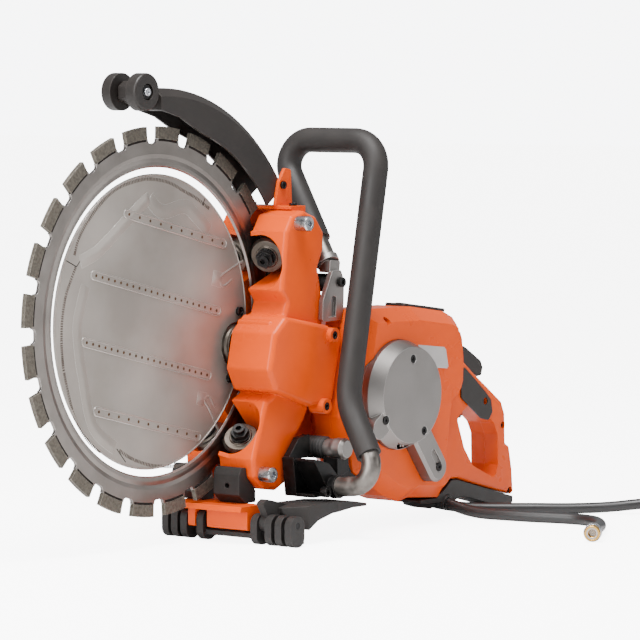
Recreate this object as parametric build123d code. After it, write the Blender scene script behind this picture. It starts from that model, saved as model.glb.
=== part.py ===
from build123d import *
import math
import os

os.makedirs("parts", exist_ok=True)

# Everything is in millimetres. +X points to the rear handle, +Y to the operator's right, +Z up.
# Where the ring's centre stands above the middle of the footprint, and how far the head leans back
ring_x = -173.0
ring_y = 53.9
ring_z = 246.0
head_lean = 13.3
at_rest = Pos(ring_x, ring_y, ring_z)
at_head = at_rest * Rot(0, head_lean, 0)
in_head = Rot(0, -head_lean, 0)

# Clearances
seat_gap = 0.05
running_gap = 0.3
open_gap = 2.0

# Ring blade
ring_radius = 212.5
ring_bore = 168.0
core_thickness = 3.6
segment_depth = 13.5
segment_count = 24
segment_sweep = 9.8
segment_thickness = 5.0
segment_phase = 6.2
gullet_width = 15.0
gullet_depth = 5.0
gullet_corner = 4.0
groove_radius = 178.0
groove_width = 9.0
groove_depth = 0.8
core_radius = ring_radius - segment_depth

# Centre disc: a pressed sheet inside the ring
disc_radius = 161.0
disc_sheet = 1.5
disc_offset = 2.4
strip_width = 10.5
strip_height = 0.9
strip_hole = 2.6
# height above the saw axis, left end, right end and number of holes of each strip
strip_rows = [(106, -74, 105, 10), (31.5, -112, 112, 21), (-41, -111, 112, 21), (-110, -75, 109, 11)]
disc_screw_x = 143.0
disc_screw_z = 38.0
disc_screw_radius = 3.0

# Drive wheel, its shaft and pulley, on the saw axis
wheel_radius = 21.0
wheel_flange = 3.0
wheel_width = 13.0
drive_x = ring_bore - wheel_radius
shaft_radius = 8.0
bearing_radius = 16.0
bearing_width = 9.0
pulley_radius = 15.0
belt_thickness = 3.0
pulley_flange = 1.5
belt_near = -57.0
belt_far = -45.0

# Support rollers
roller_angle = 34.5
roller_reach = 184.0
roller_tilt = 17.0
roller_radius = 21.0
roller_width = 10.0
bolt_radius = 6.0
hood_radius = 31.0
hood_wall = 4.5
arm_length = 28.0
hood_back = 42.5
arm_pin_radius = 4.0

# Near cover and far chassis, side view in the leaned head frame
cover_inner = -10.0
cover_face = -58.0
bulge_face = -71.0
chassis_inner = 10.0
chassis_face = 40.0
web_near = -18.0
head_rear = 246.0
post_x = 151.0
post_z = 141.0
post_radius = 8.5
post_height = 16.0
lug_screws = [(221, 28), (225, -52)]
lug_face = -77.0

# Drive train in the body: lay shaft, gear pair and motor
lay_x = 299.0
lay_z = -99.0
gear_module = 1.75
gear_teeth = 36
pinion_teeth = 12
pressure_angle = 25.0
gear_face = 9.0
gear_near = -115.0
motor_direction = -94.0
gear_spacing = gear_module * (gear_teeth + pinion_teeth) / 2
motor_x = lay_x + gear_spacing * math.cos(math.radians(motor_direction))
motor_z = lay_z + gear_spacing * math.sin(math.radians(motor_direction))
motor_shaft_radius = 6.0
motor_bearing_radius = 12.0
stator_radius = 31.0
stator_bore = 18.0
stator_near = -84.0
stator_far = -69.0
coil_reach = 4.5
fan_near = -51.0
fan_radius = 21.0
fan_width = 7.0
motor_bearing_near = -100.0
motor_bearing_far = -60.0
motor_bearing_width = 8.0
lay_bearing_near = -101.0
lay_bearing_far = -41.0

# Gear cover: middle of its round part, radius, and its sunk screws
case_x = 300.0
case_z = -94.0
case_radius = 62.0
cover_near = -123.0
cover_bevel = 13.0
cover_face_radius = 54.5
cover_face_shift = 5.0
plate_near = -101.0
plate_far = -91.0
cover_screw_places = [(306, -53), (256, -119), (327, -136), (357, -180)]

# Body and rear handle shells
body_middle = -65.0
body_near = -105.0
body_far = -25.0
shell_wall = 3.0
handle_half = 19.5
handle_wall = 3.0
bevel_angle = 40.0
body_bevel = 18.0
body_depth = (body_far - body_near) / 2
boss_radius = 6.5
boss_places = [(394, -206), (422, -26), (284, -10), (535, -147), (497, -116), (549, -226)]

# Control panel on the sloping crown of the body, its buttons as place along the panel and radius
crown_x = 345.0
crown_z = 3.0
crown_slope = 7.55
panel_length = 80.0
panel_width = 34.0
panel_height = 3.5
button_travel = 1.2
button_height = 2.4
button_places = [(15, 7), (39, 5.5), (57, 5.5)]

# Trigger, its lock and the switch between them
trigger_pivot = (450, -106)
trigger_half = 8.0
trigger_pin_radius = 3.0
lock_pivot = (474, -92)
lock_half = 7.0
lock_pin_radius = 2.5

# Front loop handle, a bent tube in a plane that leans with the head
loop_x = 270.0
loop_z = 185.0
loop_lean = 13.3
loop_tube_radius = 11.0
loop_tube_wall = 2.0
loop_grip_radius = 14.2
loop_start = (-108, -188.5)
loop_corners = [(-171, -183), (-108, -95), (-100, 193), (48, 193)]
loop_end = (-52.3, 56)
loop_radii = [22, 70, 34, 26]
collar_radius = 12.8

# Spring boots between the head and the handle
upper_boot = (240.7, 33.5)
upper_boot_radius = 10.5
lower_boot = (206, -148.5)
lower_boot_radius = 12.8
boot_pitch = 4.0

# Blade guard and the rollers at its nose
guard_near = -18.0
guard_far = 20.0
guard_crown = 254.0
guard_wall = 3.0
guard_cut = [(-30, 190), (-30, 233), (-16, 232.5), (23, 222.3), (69, 199.8), (69, 190)]
guard_from = -2.0
guard_to = 55.0
nose_x = -38.0
nose_z = 250.0
nose_radius = 20.4
nose_axle_radius = 5.0

bracket_screw = (196, 144)
bracket_top = 121.0
ear_screw_x = 201.0
ear_screw_rows = (-33, 25)

# Feet
pin_x = 90.0
pin_z = -222.0
fin_half_width = 12.0
fin_thickness = 9.0
foot_pin_radius = 4.0
floor_z = -ring_z
near_fins = [-75, -95, -109, -123]
far_fins = [1.5, 25, 38.5, 52]
wing_near = -89.7
wing_far = -80.3
bumper_reach = 48.0
bumper_hole = 31.0

# Cords
cable_radius = 6.25
hose_radius = 6.6
cable_floor = floor_z + cable_radius + 0.1
hose_floor = floor_z + hose_radius + 0.1
connector_radius = 14.0
coupling_radius = 10.0
cable_points = [(426, -60, -230.5), (446, -68, -236.5), (474, -96, cable_floor), (506, -140, cable_floor + 0.4),
                (538, -182, cable_floor), (564, -216, cable_floor + 1.5), (586, -247, floor_z + connector_radius - 1.6),
                (604, -277, floor_z + connector_radius + 0.2), (619, -305, floor_z + connector_radius + 0.2)]
hose_points = [(425, -84, -229.5), (427, -102, -235.5), (429, -128, hose_floor), (432, -160, hose_floor + 0.3),
               (438, -194, hose_floor), (446, -226, hose_floor + 0.3), (452, -253, hose_floor),
               (444, -279, hose_floor + 0.2), (423, -300, hose_floor), (395, -316, floor_z + coupling_radius - 2.5),
               (370, -328.5, floor_z + coupling_radius + 0.2), (348, -341, floor_z + coupling_radius + 0.2)]


def keep(name, *solids):
    """Write one node, made of one or more separate solids."""
    shape = solids[0] if len(solids) == 1 else Compound(children=list(solids))
    export_step(shape, f"parts/{name}.step")


def drawn(points, radius=0.0):
    """A closed side-view outline with rounded corners."""
    face = make_face(Polyline(*points, close=True))
    return fillet(face.vertices(), radius) if radius else face


def across(face, y_from, y_to):
    """A side-view outline made solid between two distances across the saw."""
    return extrude(Plane.XZ.offset(-y_from) * face, y_from - y_to)


def disc_at(x, z, radius, y_from, y_to):
    return across(Pos(x, z) * Circle(radius), y_from, y_to)


def tube_at(x, z, outer, inner, y_from, y_to):
    return across(Pos(x, z) * (Circle(outer) - Circle(inner)), y_from, y_to)


def turned(points):
    """A solid turned about its own Z axis from radius and height points."""
    return revolve(make_face(Plane.XZ * Polyline(*points, close=True)), Axis.Z)


def cap_screw(radius, length, head_radius, head_height):
    """A socket cap screw that points down, with the underside of its head at the origin."""
    screw = Pos(0, 0, -length / 2) * Cylinder(radius, length)
    screw += Pos(0, 0, head_height / 2) * Cylinder(head_radius, head_height)
    socket = extrude(Plane.XY.offset(head_height * 0.45) * RegularPolygon(head_radius * 0.55, 6), head_height)
    return screw - socket


def facing_near(x, y, z):
    """The place of a screw whose head looks towards the near side."""
    return Location(Plane(origin=(x, y, z), x_dir=(1, 0, 0), z_dir=(0, -1, 0)))


def facing_far(x, y, z):
    return Location(Plane(origin=(x, y, z), x_dir=(1, 0, 0), z_dir=(0, 1, 0)))


def head_point(x, z):
    """A side-view point of the leaned head, seen in the resting frame."""
    lean = math.radians(head_lean)
    return (x * math.cos(lean) + z * math.sin(lean), z * math.cos(lean) - x * math.sin(lean))


def to_head(x, z):
    """A side-view point of the resting frame, seen in the leaned head."""
    lean = math.radians(head_lean)
    return (x * math.cos(lean) - z * math.sin(lean), z * math.cos(lean) + x * math.sin(lean))


# Ring blade
def ring_blade_core():
    half = core_thickness / 2
    edge = [
        (ring_bore + half, half),
        (groove_radius - groove_width / 2, half),
        (groove_radius, half - groove_depth),
        (groove_radius + groove_width / 2, half),
        (core_radius, half),
    ]
    other = [(radius, -side) for radius, side in reversed(edge)]
    core = revolve(make_face(Polyline((ring_bore, 0), *edge, *other, close=True)), Axis.Y)
    height = gullet_depth + segment_depth
    slot = Pos(0, core_radius - gullet_depth + height / 2) * RectangleRounded(gullet_width, height, gullet_corner)
    gullet = across(slot, -core_thickness, core_thickness)
    pitch = 360 / segment_count
    return core - [Rot(0, segment_phase + pitch * (i + 0.5), 0) * gullet for i in range(segment_count)]


def blade_segments():
    reach = ring_radius * 1.1
    spread = reach * math.tan(math.radians(segment_sweep / 2))
    wedge = make_face(Polyline((0, 0), (spread, reach), (-spread, reach), close=True))
    band = Circle(ring_radius) - Circle(core_radius + seat_gap)
    segment = across(band & wedge, -segment_thickness / 2, segment_thickness / 2)
    return [Rot(0, segment_phase + 360 / segment_count * i, 0) * segment for i in range(segment_count)]


# Centre disc
def centre_disc():
    clear = wheel_radius + wheel_flange + open_gap
    sheet = Circle(disc_radius) - Pos(drive_x, 0) * Circle(clear)
    disc = across(sheet, disc_offset, disc_offset + disc_sheet)
    holes = []
    for height, left, right, count in strip_rows:
        strip = Pos((left + right) / 2, height) * SlotOverall(right - left, strip_width)
        disc += across(strip, disc_offset - strip_height, disc_offset)
        margin = strip_width * 0.8
        step = (right - left - 2 * margin) / (count - 1)
        for i in range(count):
            holes.append(Pos(left + margin + step * i, height) * Circle(strip_hole / 2))
    for side in (1, -1):
        holes.append(Pos(disc_screw_x, side * disc_screw_z) * Circle(disc_screw_radius + seat_gap))
    return disc - [across(hole, disc_offset - 2 * strip_height, disc_offset + 2 * disc_sheet) for hole in holes]


# Support rollers: place, roller, bolt and the hood round each
def roller_plane(side, up):
    """Centre of a roller. Z runs inwards along its axle and X away from the saw axis."""
    angle = math.radians(roller_angle)
    tilt = math.radians(roller_tilt)
    rim = core_thickness / 2 - groove_depth + running_gap
    away = rim + roller_radius * math.cos(tilt)
    radial = Vector(math.cos(angle), 0, up * math.sin(angle))
    tangent = Vector(-math.sin(angle), 0, up * math.cos(angle))
    axle = radial * -math.cos(tilt) + Vector(0, side * math.sin(tilt), 0)
    return Plane(origin=radial * roller_reach + Vector(0, side * away, 0), x_dir=tangent, z_dir=axle)


def blade_side(side, up):
    """The sign of the roller plane's Y that looks at the blade."""
    return -side if roller_plane(side, up).y_dir.Y > 0 else side


def roller():
    half = roller_width / 2
    bore = bolt_radius + seat_gap
    hub = 12.0
    return turned([
        (bore, -half - 2), (hub, -half - 2), (hub + 2, -half), (roller_radius - 2.5, -half),
        (roller_radius, -0.6), (roller_radius, 0.6), (roller_radius - 2.5, half),
        (hub + 1, half), (hub, half + 1.5), (bore, half + 1.5),
    ])


def roller_bolt(tail):
    """Shoulder bolt with a flanged hex and a socket nose, along Z."""
    start = roller_width / 2 + 1.5 + running_gap
    bolt = turned([(0, -tail), (bolt_radius, -tail), (bolt_radius, start), (11, start), (11, start + 2), (0, start + 2)])
    bolt += extrude(Plane.XY.offset(start + 2) * RegularPolygon(10.5, 6), 6)
    nose = Circle(6.5) - RegularPolygon(3.6, 6)
    return bolt + extrude(Plane.XY.offset(start + 8) * nose, 5)


def hood_profile(side, up, radius, reach):
    """Half-round channel that opens towards the blade."""
    toward = blade_side(side, up)
    return Circle(radius) + Pos(0, toward * reach / 2) * Rectangle(2 * radius, reach)


def hood(side, up):
    """Half-round guard over a roller, cut back on a slant at its open end."""
    body = extrude(Plane.XY.offset(-hood_back) * hood_profile(side, up, hood_radius, 40), hood_back + 36)
    slant = Pos(0, 0, 14) * Rot(0, 19.3, 0) * Pos(0, 0, 60) * Box(240, 240, 120)
    return Location(roller_plane(side, up)) * (body - slant)


def hood_pocket(side, up):
    start = hood_wall - hood_back
    profile = hood_profile(side, up, hood_radius - hood_wall, 60)
    return Location(roller_plane(side, up)) * extrude(Plane.XY.offset(start) * profile, 120 - start)


def roller_arm(side, up):
    """Arm between the hinge pin and the roller's axle."""
    boss_end = -roller_width / 2 - 2 - running_gap
    arm = Pos(0, 0, (boss_end - arm_length) / 2) * Cylinder(10, arm_length + boss_end)
    arm += Pos(0, 0, -arm_length) * Rot(0, 90, 0) * Cylinder(8, 30)
    arm -= Pos(0, 0, -arm_length) * Rot(0, 90, 0) * Cylinder(arm_pin_radius + seat_gap, 60)
    arm -= Pos(0, 0, -8) * Cylinder(bolt_radius + seat_gap, 24)
    return Location(roller_plane(side, up)) * arm


def arm_pin(side, up):
    length = 2 * hood_radius - 2
    return Location(roller_plane(side, up)) * (Pos(0, 0, -arm_length) * Rot(0, 90, 0) * Cylinder(arm_pin_radius, length))


# Side-view outlines of the head
def head_outline():
    upper = [
        (129, 26), (150, 38), (152, 52), (139, 62), (132, 128), (139, 147), (158, 157), (181, 155),
        (199, 141), (203, 122), (198, 100), (213, 70), (221, 40),
    ]
    lower = [(x, -z) for x, z in reversed(upper)]
    return drawn(upper + lower, 4)


def bulge_outline():
    return drawn([(122, 12), (138, 34), (217, 38), (head_rear - 3, 30), (head_rear - 3, -45), (206, -56),
                  (140, -50), (122, -30)], 7)


def strap(start, end, radius):
    """A side-view stadium between two points."""
    run = math.hypot(end[0] - start[0], end[1] - start[1])
    slope = math.degrees(math.atan2(end[1] - start[1], end[0] - start[0]))
    middle = Pos((start[0] + end[0]) / 2, (start[1] + end[1]) / 2) * Rot(0, 0, slope) * Rectangle(run, 2 * radius)
    return Pos(*start) * Circle(radius) + Pos(*end) * Circle(radius) + middle


def belt_way(grow):
    """The belt's path between its two pulleys, seen from the side."""
    return strap(head_point(drive_x, 0), (lay_x, lay_z), pulley_radius + grow)


def belt_tunnel():
    """Room for the belt and its flanged pulleys."""
    room = pulley_flange + open_gap
    return across(belt_way(belt_thickness + open_gap), belt_near - room, belt_far + room)


def roller_nest(side, up):
    """The bore for a roller arm's pin, across both cheeks of its hood."""
    bore = Rot(0, 90, 0) * Cylinder(arm_pin_radius + seat_gap, 2 * hood_radius - 1)
    return Location(roller_plane(side, up)) * (Pos(0, 0, -arm_length) * bore)


def roller_cover():
    """Near casting: two roller hoods, the pulley bulge and two ears with the adjusters."""
    plate = across(head_outline(), cover_face, cover_inner)
    plate = fillet(plate.faces().sort_by(Axis.Y)[0].edges(), 5)
    bulge = across(bulge_outline(), bulge_face, cover_inner)
    bulge = fillet(bulge.faces().sort_by(Axis.Y)[0].edges(), 6)
    cover = plate + bulge
    inner_side = Pos(200, cover_inner + 100, 0) * Box(600, 200, 600)
    for up in (1, -1):
        cover += hood(-1, up) - inner_side
    for up in (1, -1):
        cover -= hood_pocket(-1, up)
        cover -= roller_nest(-1, up)
        cover -= disc_at(post_x, up * post_z, 5 + seat_gap, cover_face - 5, cover_face + 24)
    neck = Pos((head_rear + 221.5) / 2 + 10, (cover_inner - 57) / 2, -9) * Box(head_rear - 221.5 + 20, 47, 200)
    cover -= neck
    for x, z in lug_screws:
        cover += disc_at(x, z, 8.5, lug_face, cover_face + 1)
        cover -= disc_at(x, z, 4.8 + seat_gap, lug_face - 1, lug_face + 4.5)
        cover -= disc_at(x, z, 2.5 + seat_gap, lug_face, cover_inner)
    cover -= disc_at(drive_x, 0, bearing_radius + seat_gap, cover_inner - 4 - bearing_width, cover_inner + 1)
    cover -= disc_at(drive_x, 0, pulley_radius + belt_thickness + open_gap,
                     belt_near - pulley_flange - open_gap, cover_inner - 4)
    cover -= in_head * ear_hole(ear_screw_rows[0])
    return cover - in_head * belt_tunnel()


def ear_hole(y):
    """Hole in the top of an ear for a screw of the guard bracket."""
    return Pos(ear_screw_x, y, bracket_top - 12) * Cylinder(2.5 + seat_gap, 20)


def boot_post(boot, radius, y_near):
    """Strap and post of the far casting that a spring boot sits on, in the head frame."""
    x, z = to_head(*boot)
    return across(strap((head_rear - 50, z), (x, z), radius), chassis_inner, 34) + disc_at(x, z, radius - 2, y_near, chassis_inner + 2)


def chassis():
    """Far casting that carries the head: plate, far hoods, neck, disc pads and the foot beam."""
    plate = across(head_outline(), chassis_inner, chassis_face)
    plate = fillet(plate.faces().sort_by(Axis.Y)[-1].edges(), 5)
    body = plate
    inner_side = Pos(200, chassis_inner - 100, 0) * Box(600, 200, 600)
    for up in (1, -1):
        body += hood(1, up) - inner_side
    for up in (1, -1):
        body -= hood_pocket(1, up)
        seat = Pos(0, 0, -26) * Cylinder(12, 36)
        body += Location(roller_plane(1, up)) * seat
        body -= Location(roller_plane(1, up)) * (Pos(0, 0, -15) * Cylinder(bolt_radius + seat_gap, 40))
    body -= disc_at(0, 0, ring_radius + 3, -5, 5)
    body += boot_post(upper_boot, upper_boot_radius, -35.7) + boot_post(lower_boot, 11, -40.7)
    spine_front = ring_radius + 5
    spine = across(drawn([(spine_front, 36), (head_rear, 36), (head_rear, -54), (spine_front, -54)]), -56, chassis_face)
    spine -= Pos(spine_front, -40, 0) * Box(2 * (221.8 - spine_front), 60.6, 300)
    body += spine
    web = drawn([(215, -60), (262, -66), (268, -150), (228, -154), (205, -140)], 4)
    body += in_head * across(web, web_near, 12)
    for side in (1, -1):
        body += disc_at(disc_screw_x, side * disc_screw_z, 7, disc_offset + disc_sheet, chassis_inner)
        body -= disc_at(disc_screw_x, side * disc_screw_z, disc_screw_radius + seat_gap, 0, chassis_inner + 14)
    body -= disc_at(drive_x, 0, bearing_radius + seat_gap, chassis_inner - 1, chassis_inner + 4 + bearing_width)
    body -= disc_at(drive_x, 0, shaft_radius + open_gap, chassis_inner, chassis_face - 5)
    for x, z in lug_screws:
        body -= disc_at(x, z, 2.5 + seat_gap, -60, -40)
    body -= in_head * ear_hole(ear_screw_rows[1])
    return body - in_head * belt_tunnel()


def adjuster(up):
    """Round-headed adjuster screw in an ear of the near cover."""
    post = Pos(0, 0, post_height / 2) * Cylinder(post_radius, post_height)
    post = chamfer(post.edges().sort_by(Axis.Z)[-1], 1.2)
    post -= extrude(Plane.XY.offset(post_height - 6) * RegularPolygon(4.6, 6), 8)
    post += Pos(0, 0, -10) * Cylinder(5, 20)
    return facing_near(post_x, cover_face - seat_gap, up * post_z) * post


# Feet and the beam that carries them, in the resting frame
def foot_lug(y_from, y_to):
    lug = drawn([(78, pin_z - 9), (78, -208), (101, -208), (101, pin_z - 9)], 3)
    return across(lug, y_from, y_to) - disc_at(pin_x, pin_z, foot_pin_radius + seat_gap, y_from - 1, y_to + 1)


def foot_beam():
    """Plate under the ring with two bored lugs, and a leg up to the far casting."""
    plate = across(drawn([(66, -210), (68, -204), (104, -204), (104, -210)]), -66, chassis_face - 2)
    leg = across(drawn([(103, -210), (103, -204), (116, -204), (116, -186), (137, -186), (137, -204), (128, -210)]), 12, chassis_face - 2)
    return plate + leg + foot_lug(-66, -9) + foot_lug(8, 18)


def fin(y_middle):
    bottom = floor_z
    side = fin_half_width
    outline = Pos(pin_x, (bottom + -212) / 2) * RectangleRounded(2 * side, -212 - bottom, side - 1)
    return across(outline, y_middle - fin_thickness / 2, y_middle + fin_thickness / 2)


def foot(middles):
    """Row of rounded fins on one rear web, bored for its pin."""
    low = min(middles) - fin_thickness / 2
    high = max(middles) + fin_thickness / 2
    body = across(drawn([(94, -243), (94, -235), (101, -235), (101, -243)], 1), low, high)
    for middle in middles:
        body += fin(middle)
    return body - disc_at(pin_x, pin_z, foot_pin_radius + seat_gap, low - 1, high + 1)


def splash_wing():
    """Curved flap hinged between two fins of the near foot, hollow underneath."""
    eye = disc_at(pin_x, pin_z, 9, wing_near, wing_far)
    ear = [(86, -215), (76, -199), (84, -195), (112, -201.5), (122, -204), (122, -226), (92, -230)]
    arm = across(drawn(ear, 2), wing_near, wing_far)
    side = drawn([(105, -212), (104, -206), (125, -202.5), (170, -203), (206, -206), (250, -213), (250, -216),
                  (205, -213), (160, -215), (134, -221), (118, -230), (113, -224)], 1)
    hollow = make_face(Polyline((124, -240), (124, -207), (170, -206.5), (206, -209.5), (236, -216), (240, -240), close=True))
    plan = [(102, wing_near), (102, wing_far), (122, -72), (170, -72), (212, -77), (250, -90), (250, -100),
            (212, -114), (170, -121), (118, -121)]
    outline = make_face(Polyline(*plan, close=True))
    flap = across(side, -130, -60) & extrude(Plane.XY.offset(-260) * fillet(outline.vertices(), 3), 80)
    flap -= across(hollow, -130, -60) & extrude(Plane.XY.offset(-260) * offset(outline, -4), 80)
    wing = eye + arm + flap
    return wing - disc_at(pin_x, pin_z, foot_pin_radius + seat_gap, -120, -60)


def foot_pins():
    low = min(near_fins) - fin_thickness / 2 + 0.5
    high = max(far_fins) + fin_thickness / 2 - 0.5
    return [disc_at(pin_x, pin_z, foot_pin_radius, low, -12), disc_at(pin_x, pin_z, foot_pin_radius, -2.4, high)]


def foot_bar():
    """Flat bar between the two feet."""
    edge = fin_thickness / 2 + seat_gap
    return across(drawn([(83, -240), (83, -234), (97, -232.5), (97, -236)], 1), near_fins[0] + edge, far_fins[0] - edge)


def bumper(side):
    """Rubber block that keeps the ring off the lower ear."""
    outline = [(86, -172), (90, -164), (98, -164), (100.5, -176), (115, -190.5), (115, -203.6), (97, -203.6), (86, -194)]
    block = across(drawn(outline, 1.5), *sorted((side * 12, side * bumper_reach)))
    return block - Pos(86, side * bumper_hole, -184) * Rot(0, 90, 0) * Cylinder(3.2, 20)


# Drive parts on the saw axis
def drive_wheel():
    half = wheel_width / 2
    lip = core_thickness / 2 + 0.6
    throat = wheel_radius - running_gap - 1.2
    groove = [(throat, -0.4), (throat, 0.4), (wheel_radius + 0.2, lip), (wheel_radius + wheel_flange, lip + 1.4),
              (wheel_radius + wheel_flange, half), (shaft_radius + seat_gap, half)]
    other = [(radius, -height) for radius, height in reversed(groove[2:])]
    wheel = turned([*other, *groove])
    return Pos(drive_x, 0, 0) * Rot(90, 0, 0) * wheel


def drive_shaft():
    shaft = disc_at(drive_x, 0, shaft_radius, belt_near - 3, chassis_inner + 4 + bearing_width)
    return shaft + pulley(drive_x, 0, shaft_radius - 1)


def pulley(x, z, bore):
    """Flanged belt pulley."""
    rim = pulley_radius + 2
    body = tube_at(x, z, pulley_radius, bore, belt_near - 0.5, belt_far + 0.5)
    body += tube_at(x, z, rim, bore, belt_near - 0.5 - pulley_flange, belt_near - 0.5)
    return body + tube_at(x, z, rim, bore, belt_far + 0.5, belt_far + 0.5 + pulley_flange)


def bearing(x, z, outer, inner, y_from, y_to):
    """Sealed ball bearing with a recessed shield on each side."""
    body = tube_at(x, z, outer, inner + seat_gap, y_from, y_to)
    shield = tube_at(x, z, outer - 2, inner + 2, y_from - 1, y_from + 0.6)
    shield += tube_at(x, z, outer - 2, inner + 2, y_to - 0.6, y_to + 1)
    return body - shield


def ball_bearings():
    """Two bearings on each of the drive shaft, the lay shaft and the motor shaft."""
    near = cover_inner - 4 - bearing_width
    far = chassis_inner + 4
    pairs = [at_head * bearing(drive_x, 0, bearing_radius, shaft_radius, y, y + bearing_width) for y in (near, far)]
    for y in (lay_bearing_near, lay_bearing_far):
        pairs.append(at_rest * bearing(lay_x, lay_z, bearing_radius, shaft_radius, y, y + bearing_width))
    for y in (motor_bearing_near, motor_bearing_far):
        width = motor_bearing_width
        pairs.append(at_rest * bearing(motor_x, motor_z, motor_bearing_radius, motor_shaft_radius, y, y + width))
    return pairs


def drive_belt():
    loop = belt_way(running_gap + belt_thickness) - belt_way(running_gap)
    return across(loop, belt_near, belt_far)


# Gear pair
def involute(angle):
    return math.tan(angle) - angle


def gear_sketch(teeth, bore, phase):
    """Stub-tooth spur gear with involute flanks."""
    slope = math.radians(pressure_angle)
    pitch = gear_module * teeth / 2
    base = pitch * math.cos(slope)
    outer = pitch + 0.8 * gear_module
    root = pitch - 1.05 * gear_module
    backlash = 0.3
    half_tooth = math.pi / (2 * teeth) - backlash / (2 * pitch)
    radii = [max(base, root) + (outer - max(base, root)) * i / 2 for i in range(3)]
    points = []
    for tooth in range(teeth):
        middle = 2 * math.pi * tooth / teeth + phase
        flank = [(radius, half_tooth + involute(slope) - involute(math.acos(min(1, base / radius)))) for radius in radii]
        if root < base:
            flank.insert(0, (root, flank[0][1]))
        for radius, turn in flank:
            points.append((radius * math.cos(middle - turn), radius * math.sin(middle - turn)))
        for radius, turn in reversed(flank):
            points.append((radius * math.cos(middle + turn), radius * math.sin(middle + turn)))
    return make_face(Polyline(*points, close=True)) - Circle(bore)


def gear_at(teeth, bore, x, z, phase):
    return across(Pos(x, z) * gear_sketch(teeth, bore, phase), gear_near, gear_near + gear_face)


def drive_gear():
    direction = math.radians(motor_direction)
    gear = gear_at(gear_teeth, shaft_radius + seat_gap, lay_x, lay_z, direction)
    for i in range(5):
        angle = direction + 2 * math.pi * (i + 0.5) / 5
        spot = (lay_x + 20 * math.cos(angle), lay_z + 20 * math.sin(angle))
        gear -= disc_at(*spot, 5, gear_near - 1, gear_near + gear_face + 1)
    return gear


def motor_pinion():
    direction = math.radians(motor_direction) + math.pi
    half_pitch = math.pi / pinion_teeth
    return gear_at(pinion_teeth, motor_shaft_radius + seat_gap, motor_x, motor_z, direction + half_pitch)


# Motor
def motor_rotor():
    shaft = disc_at(motor_x, motor_z, motor_shaft_radius, gear_near - 1, fan_near + fan_width + 0.5)
    return shaft + disc_at(motor_x, motor_z, stator_bore - 0.6, stator_near + 2, stator_far - 2)


def motor_stator():
    """Laminated ring with twelve slots."""
    ring = Circle(stator_radius) - Circle(stator_bore)
    slot = Pos(0, (stator_bore + stator_radius) / 2 - 1) * Rectangle(4.5, 9)
    for i in range(12):
        ring -= Rot(0, 0, 30 * i) * slot
    return across(Pos(motor_x, motor_z) * ring, stator_near, stator_far)


def stator_coils():
    ring = Circle(stator_radius - 3) - Circle(stator_bore + 2)
    middle = Pos(motor_x, motor_z)
    near_coils = across(middle * ring, stator_near - coil_reach, stator_near - seat_gap)
    return [near_coils, across(middle * ring, stator_far + seat_gap, stator_far + coil_reach)]


def cooling_fan():
    """Bladed disc on the motor shaft."""
    bore = motor_shaft_radius + seat_gap
    fan = tube_at(motor_x, motor_z, 9, bore, fan_near, fan_near + fan_width)
    fan += tube_at(motor_x, motor_z, fan_radius, bore, fan_near, fan_near + 1.5)
    for i in range(9):
        blade = Rot(0, 0, 40 * i) * Pos(0, fan_radius / 2 + 3) * Rectangle(1.4, fan_radius - 8)
        fan += across(Pos(motor_x, motor_z) * blade, fan_near, fan_near + fan_width)
    return fan


def lay_shaft():
    shaft = disc_at(lay_x, lay_z, shaft_radius, gear_near - 1, lay_bearing_far + bearing_width)
    return shaft + pulley(lay_x, lay_z, shaft_radius - 1)


# Silver gear case and its cover
def case_outline(grow):
    """Round gear case with an arm down to the rear and a lobe to the front."""
    outline = Pos(case_x, case_z) * Circle(case_radius + grow)
    outline += strap((325, -138), (357, -180), 17 + grow)
    return outline + strap((285, -104), (246, -128), 12 + grow)


def gear_cover():
    """Dished cover with a wide chamfer and four sunk screws."""
    arms = strap((325, -138), (357, -180), 17) + strap((285, -104), (246, -128), 12)
    arms = across(arms, cover_near + 1.5, plate_near)
    cover = chamfer(arms.faces().sort_by(Axis.Y)[0].edges(), 3)
    foot = Plane.XZ.offset(-(cover_near + cover_bevel)) * Pos(case_x, case_z) * Circle(case_radius)
    face = Plane.XZ.offset(-cover_near) * Pos(case_x + cover_face_shift, case_z) * Circle(cover_face_radius)
    cover += disc_at(case_x, case_z, case_radius, cover_near + cover_bevel, plate_near) + loft([foot, face])
    cover -= across(Pos(352, -170) * Rot(0, 0, -52) * SlotOverall(26, 9), -124, -119)
    inside = Pos(lay_x, lay_z) * Circle(36) + Pos(motor_x, motor_z) * Circle(14.5)
    cover -= across(inside, -119, -100)
    for x, z in cover_screw_places:
        cover -= disc_at(x, z, 2.5 + seat_gap, -130, -100)
        cover -= disc_at(x, z, 5.2, -130, -120)
    return cover


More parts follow.
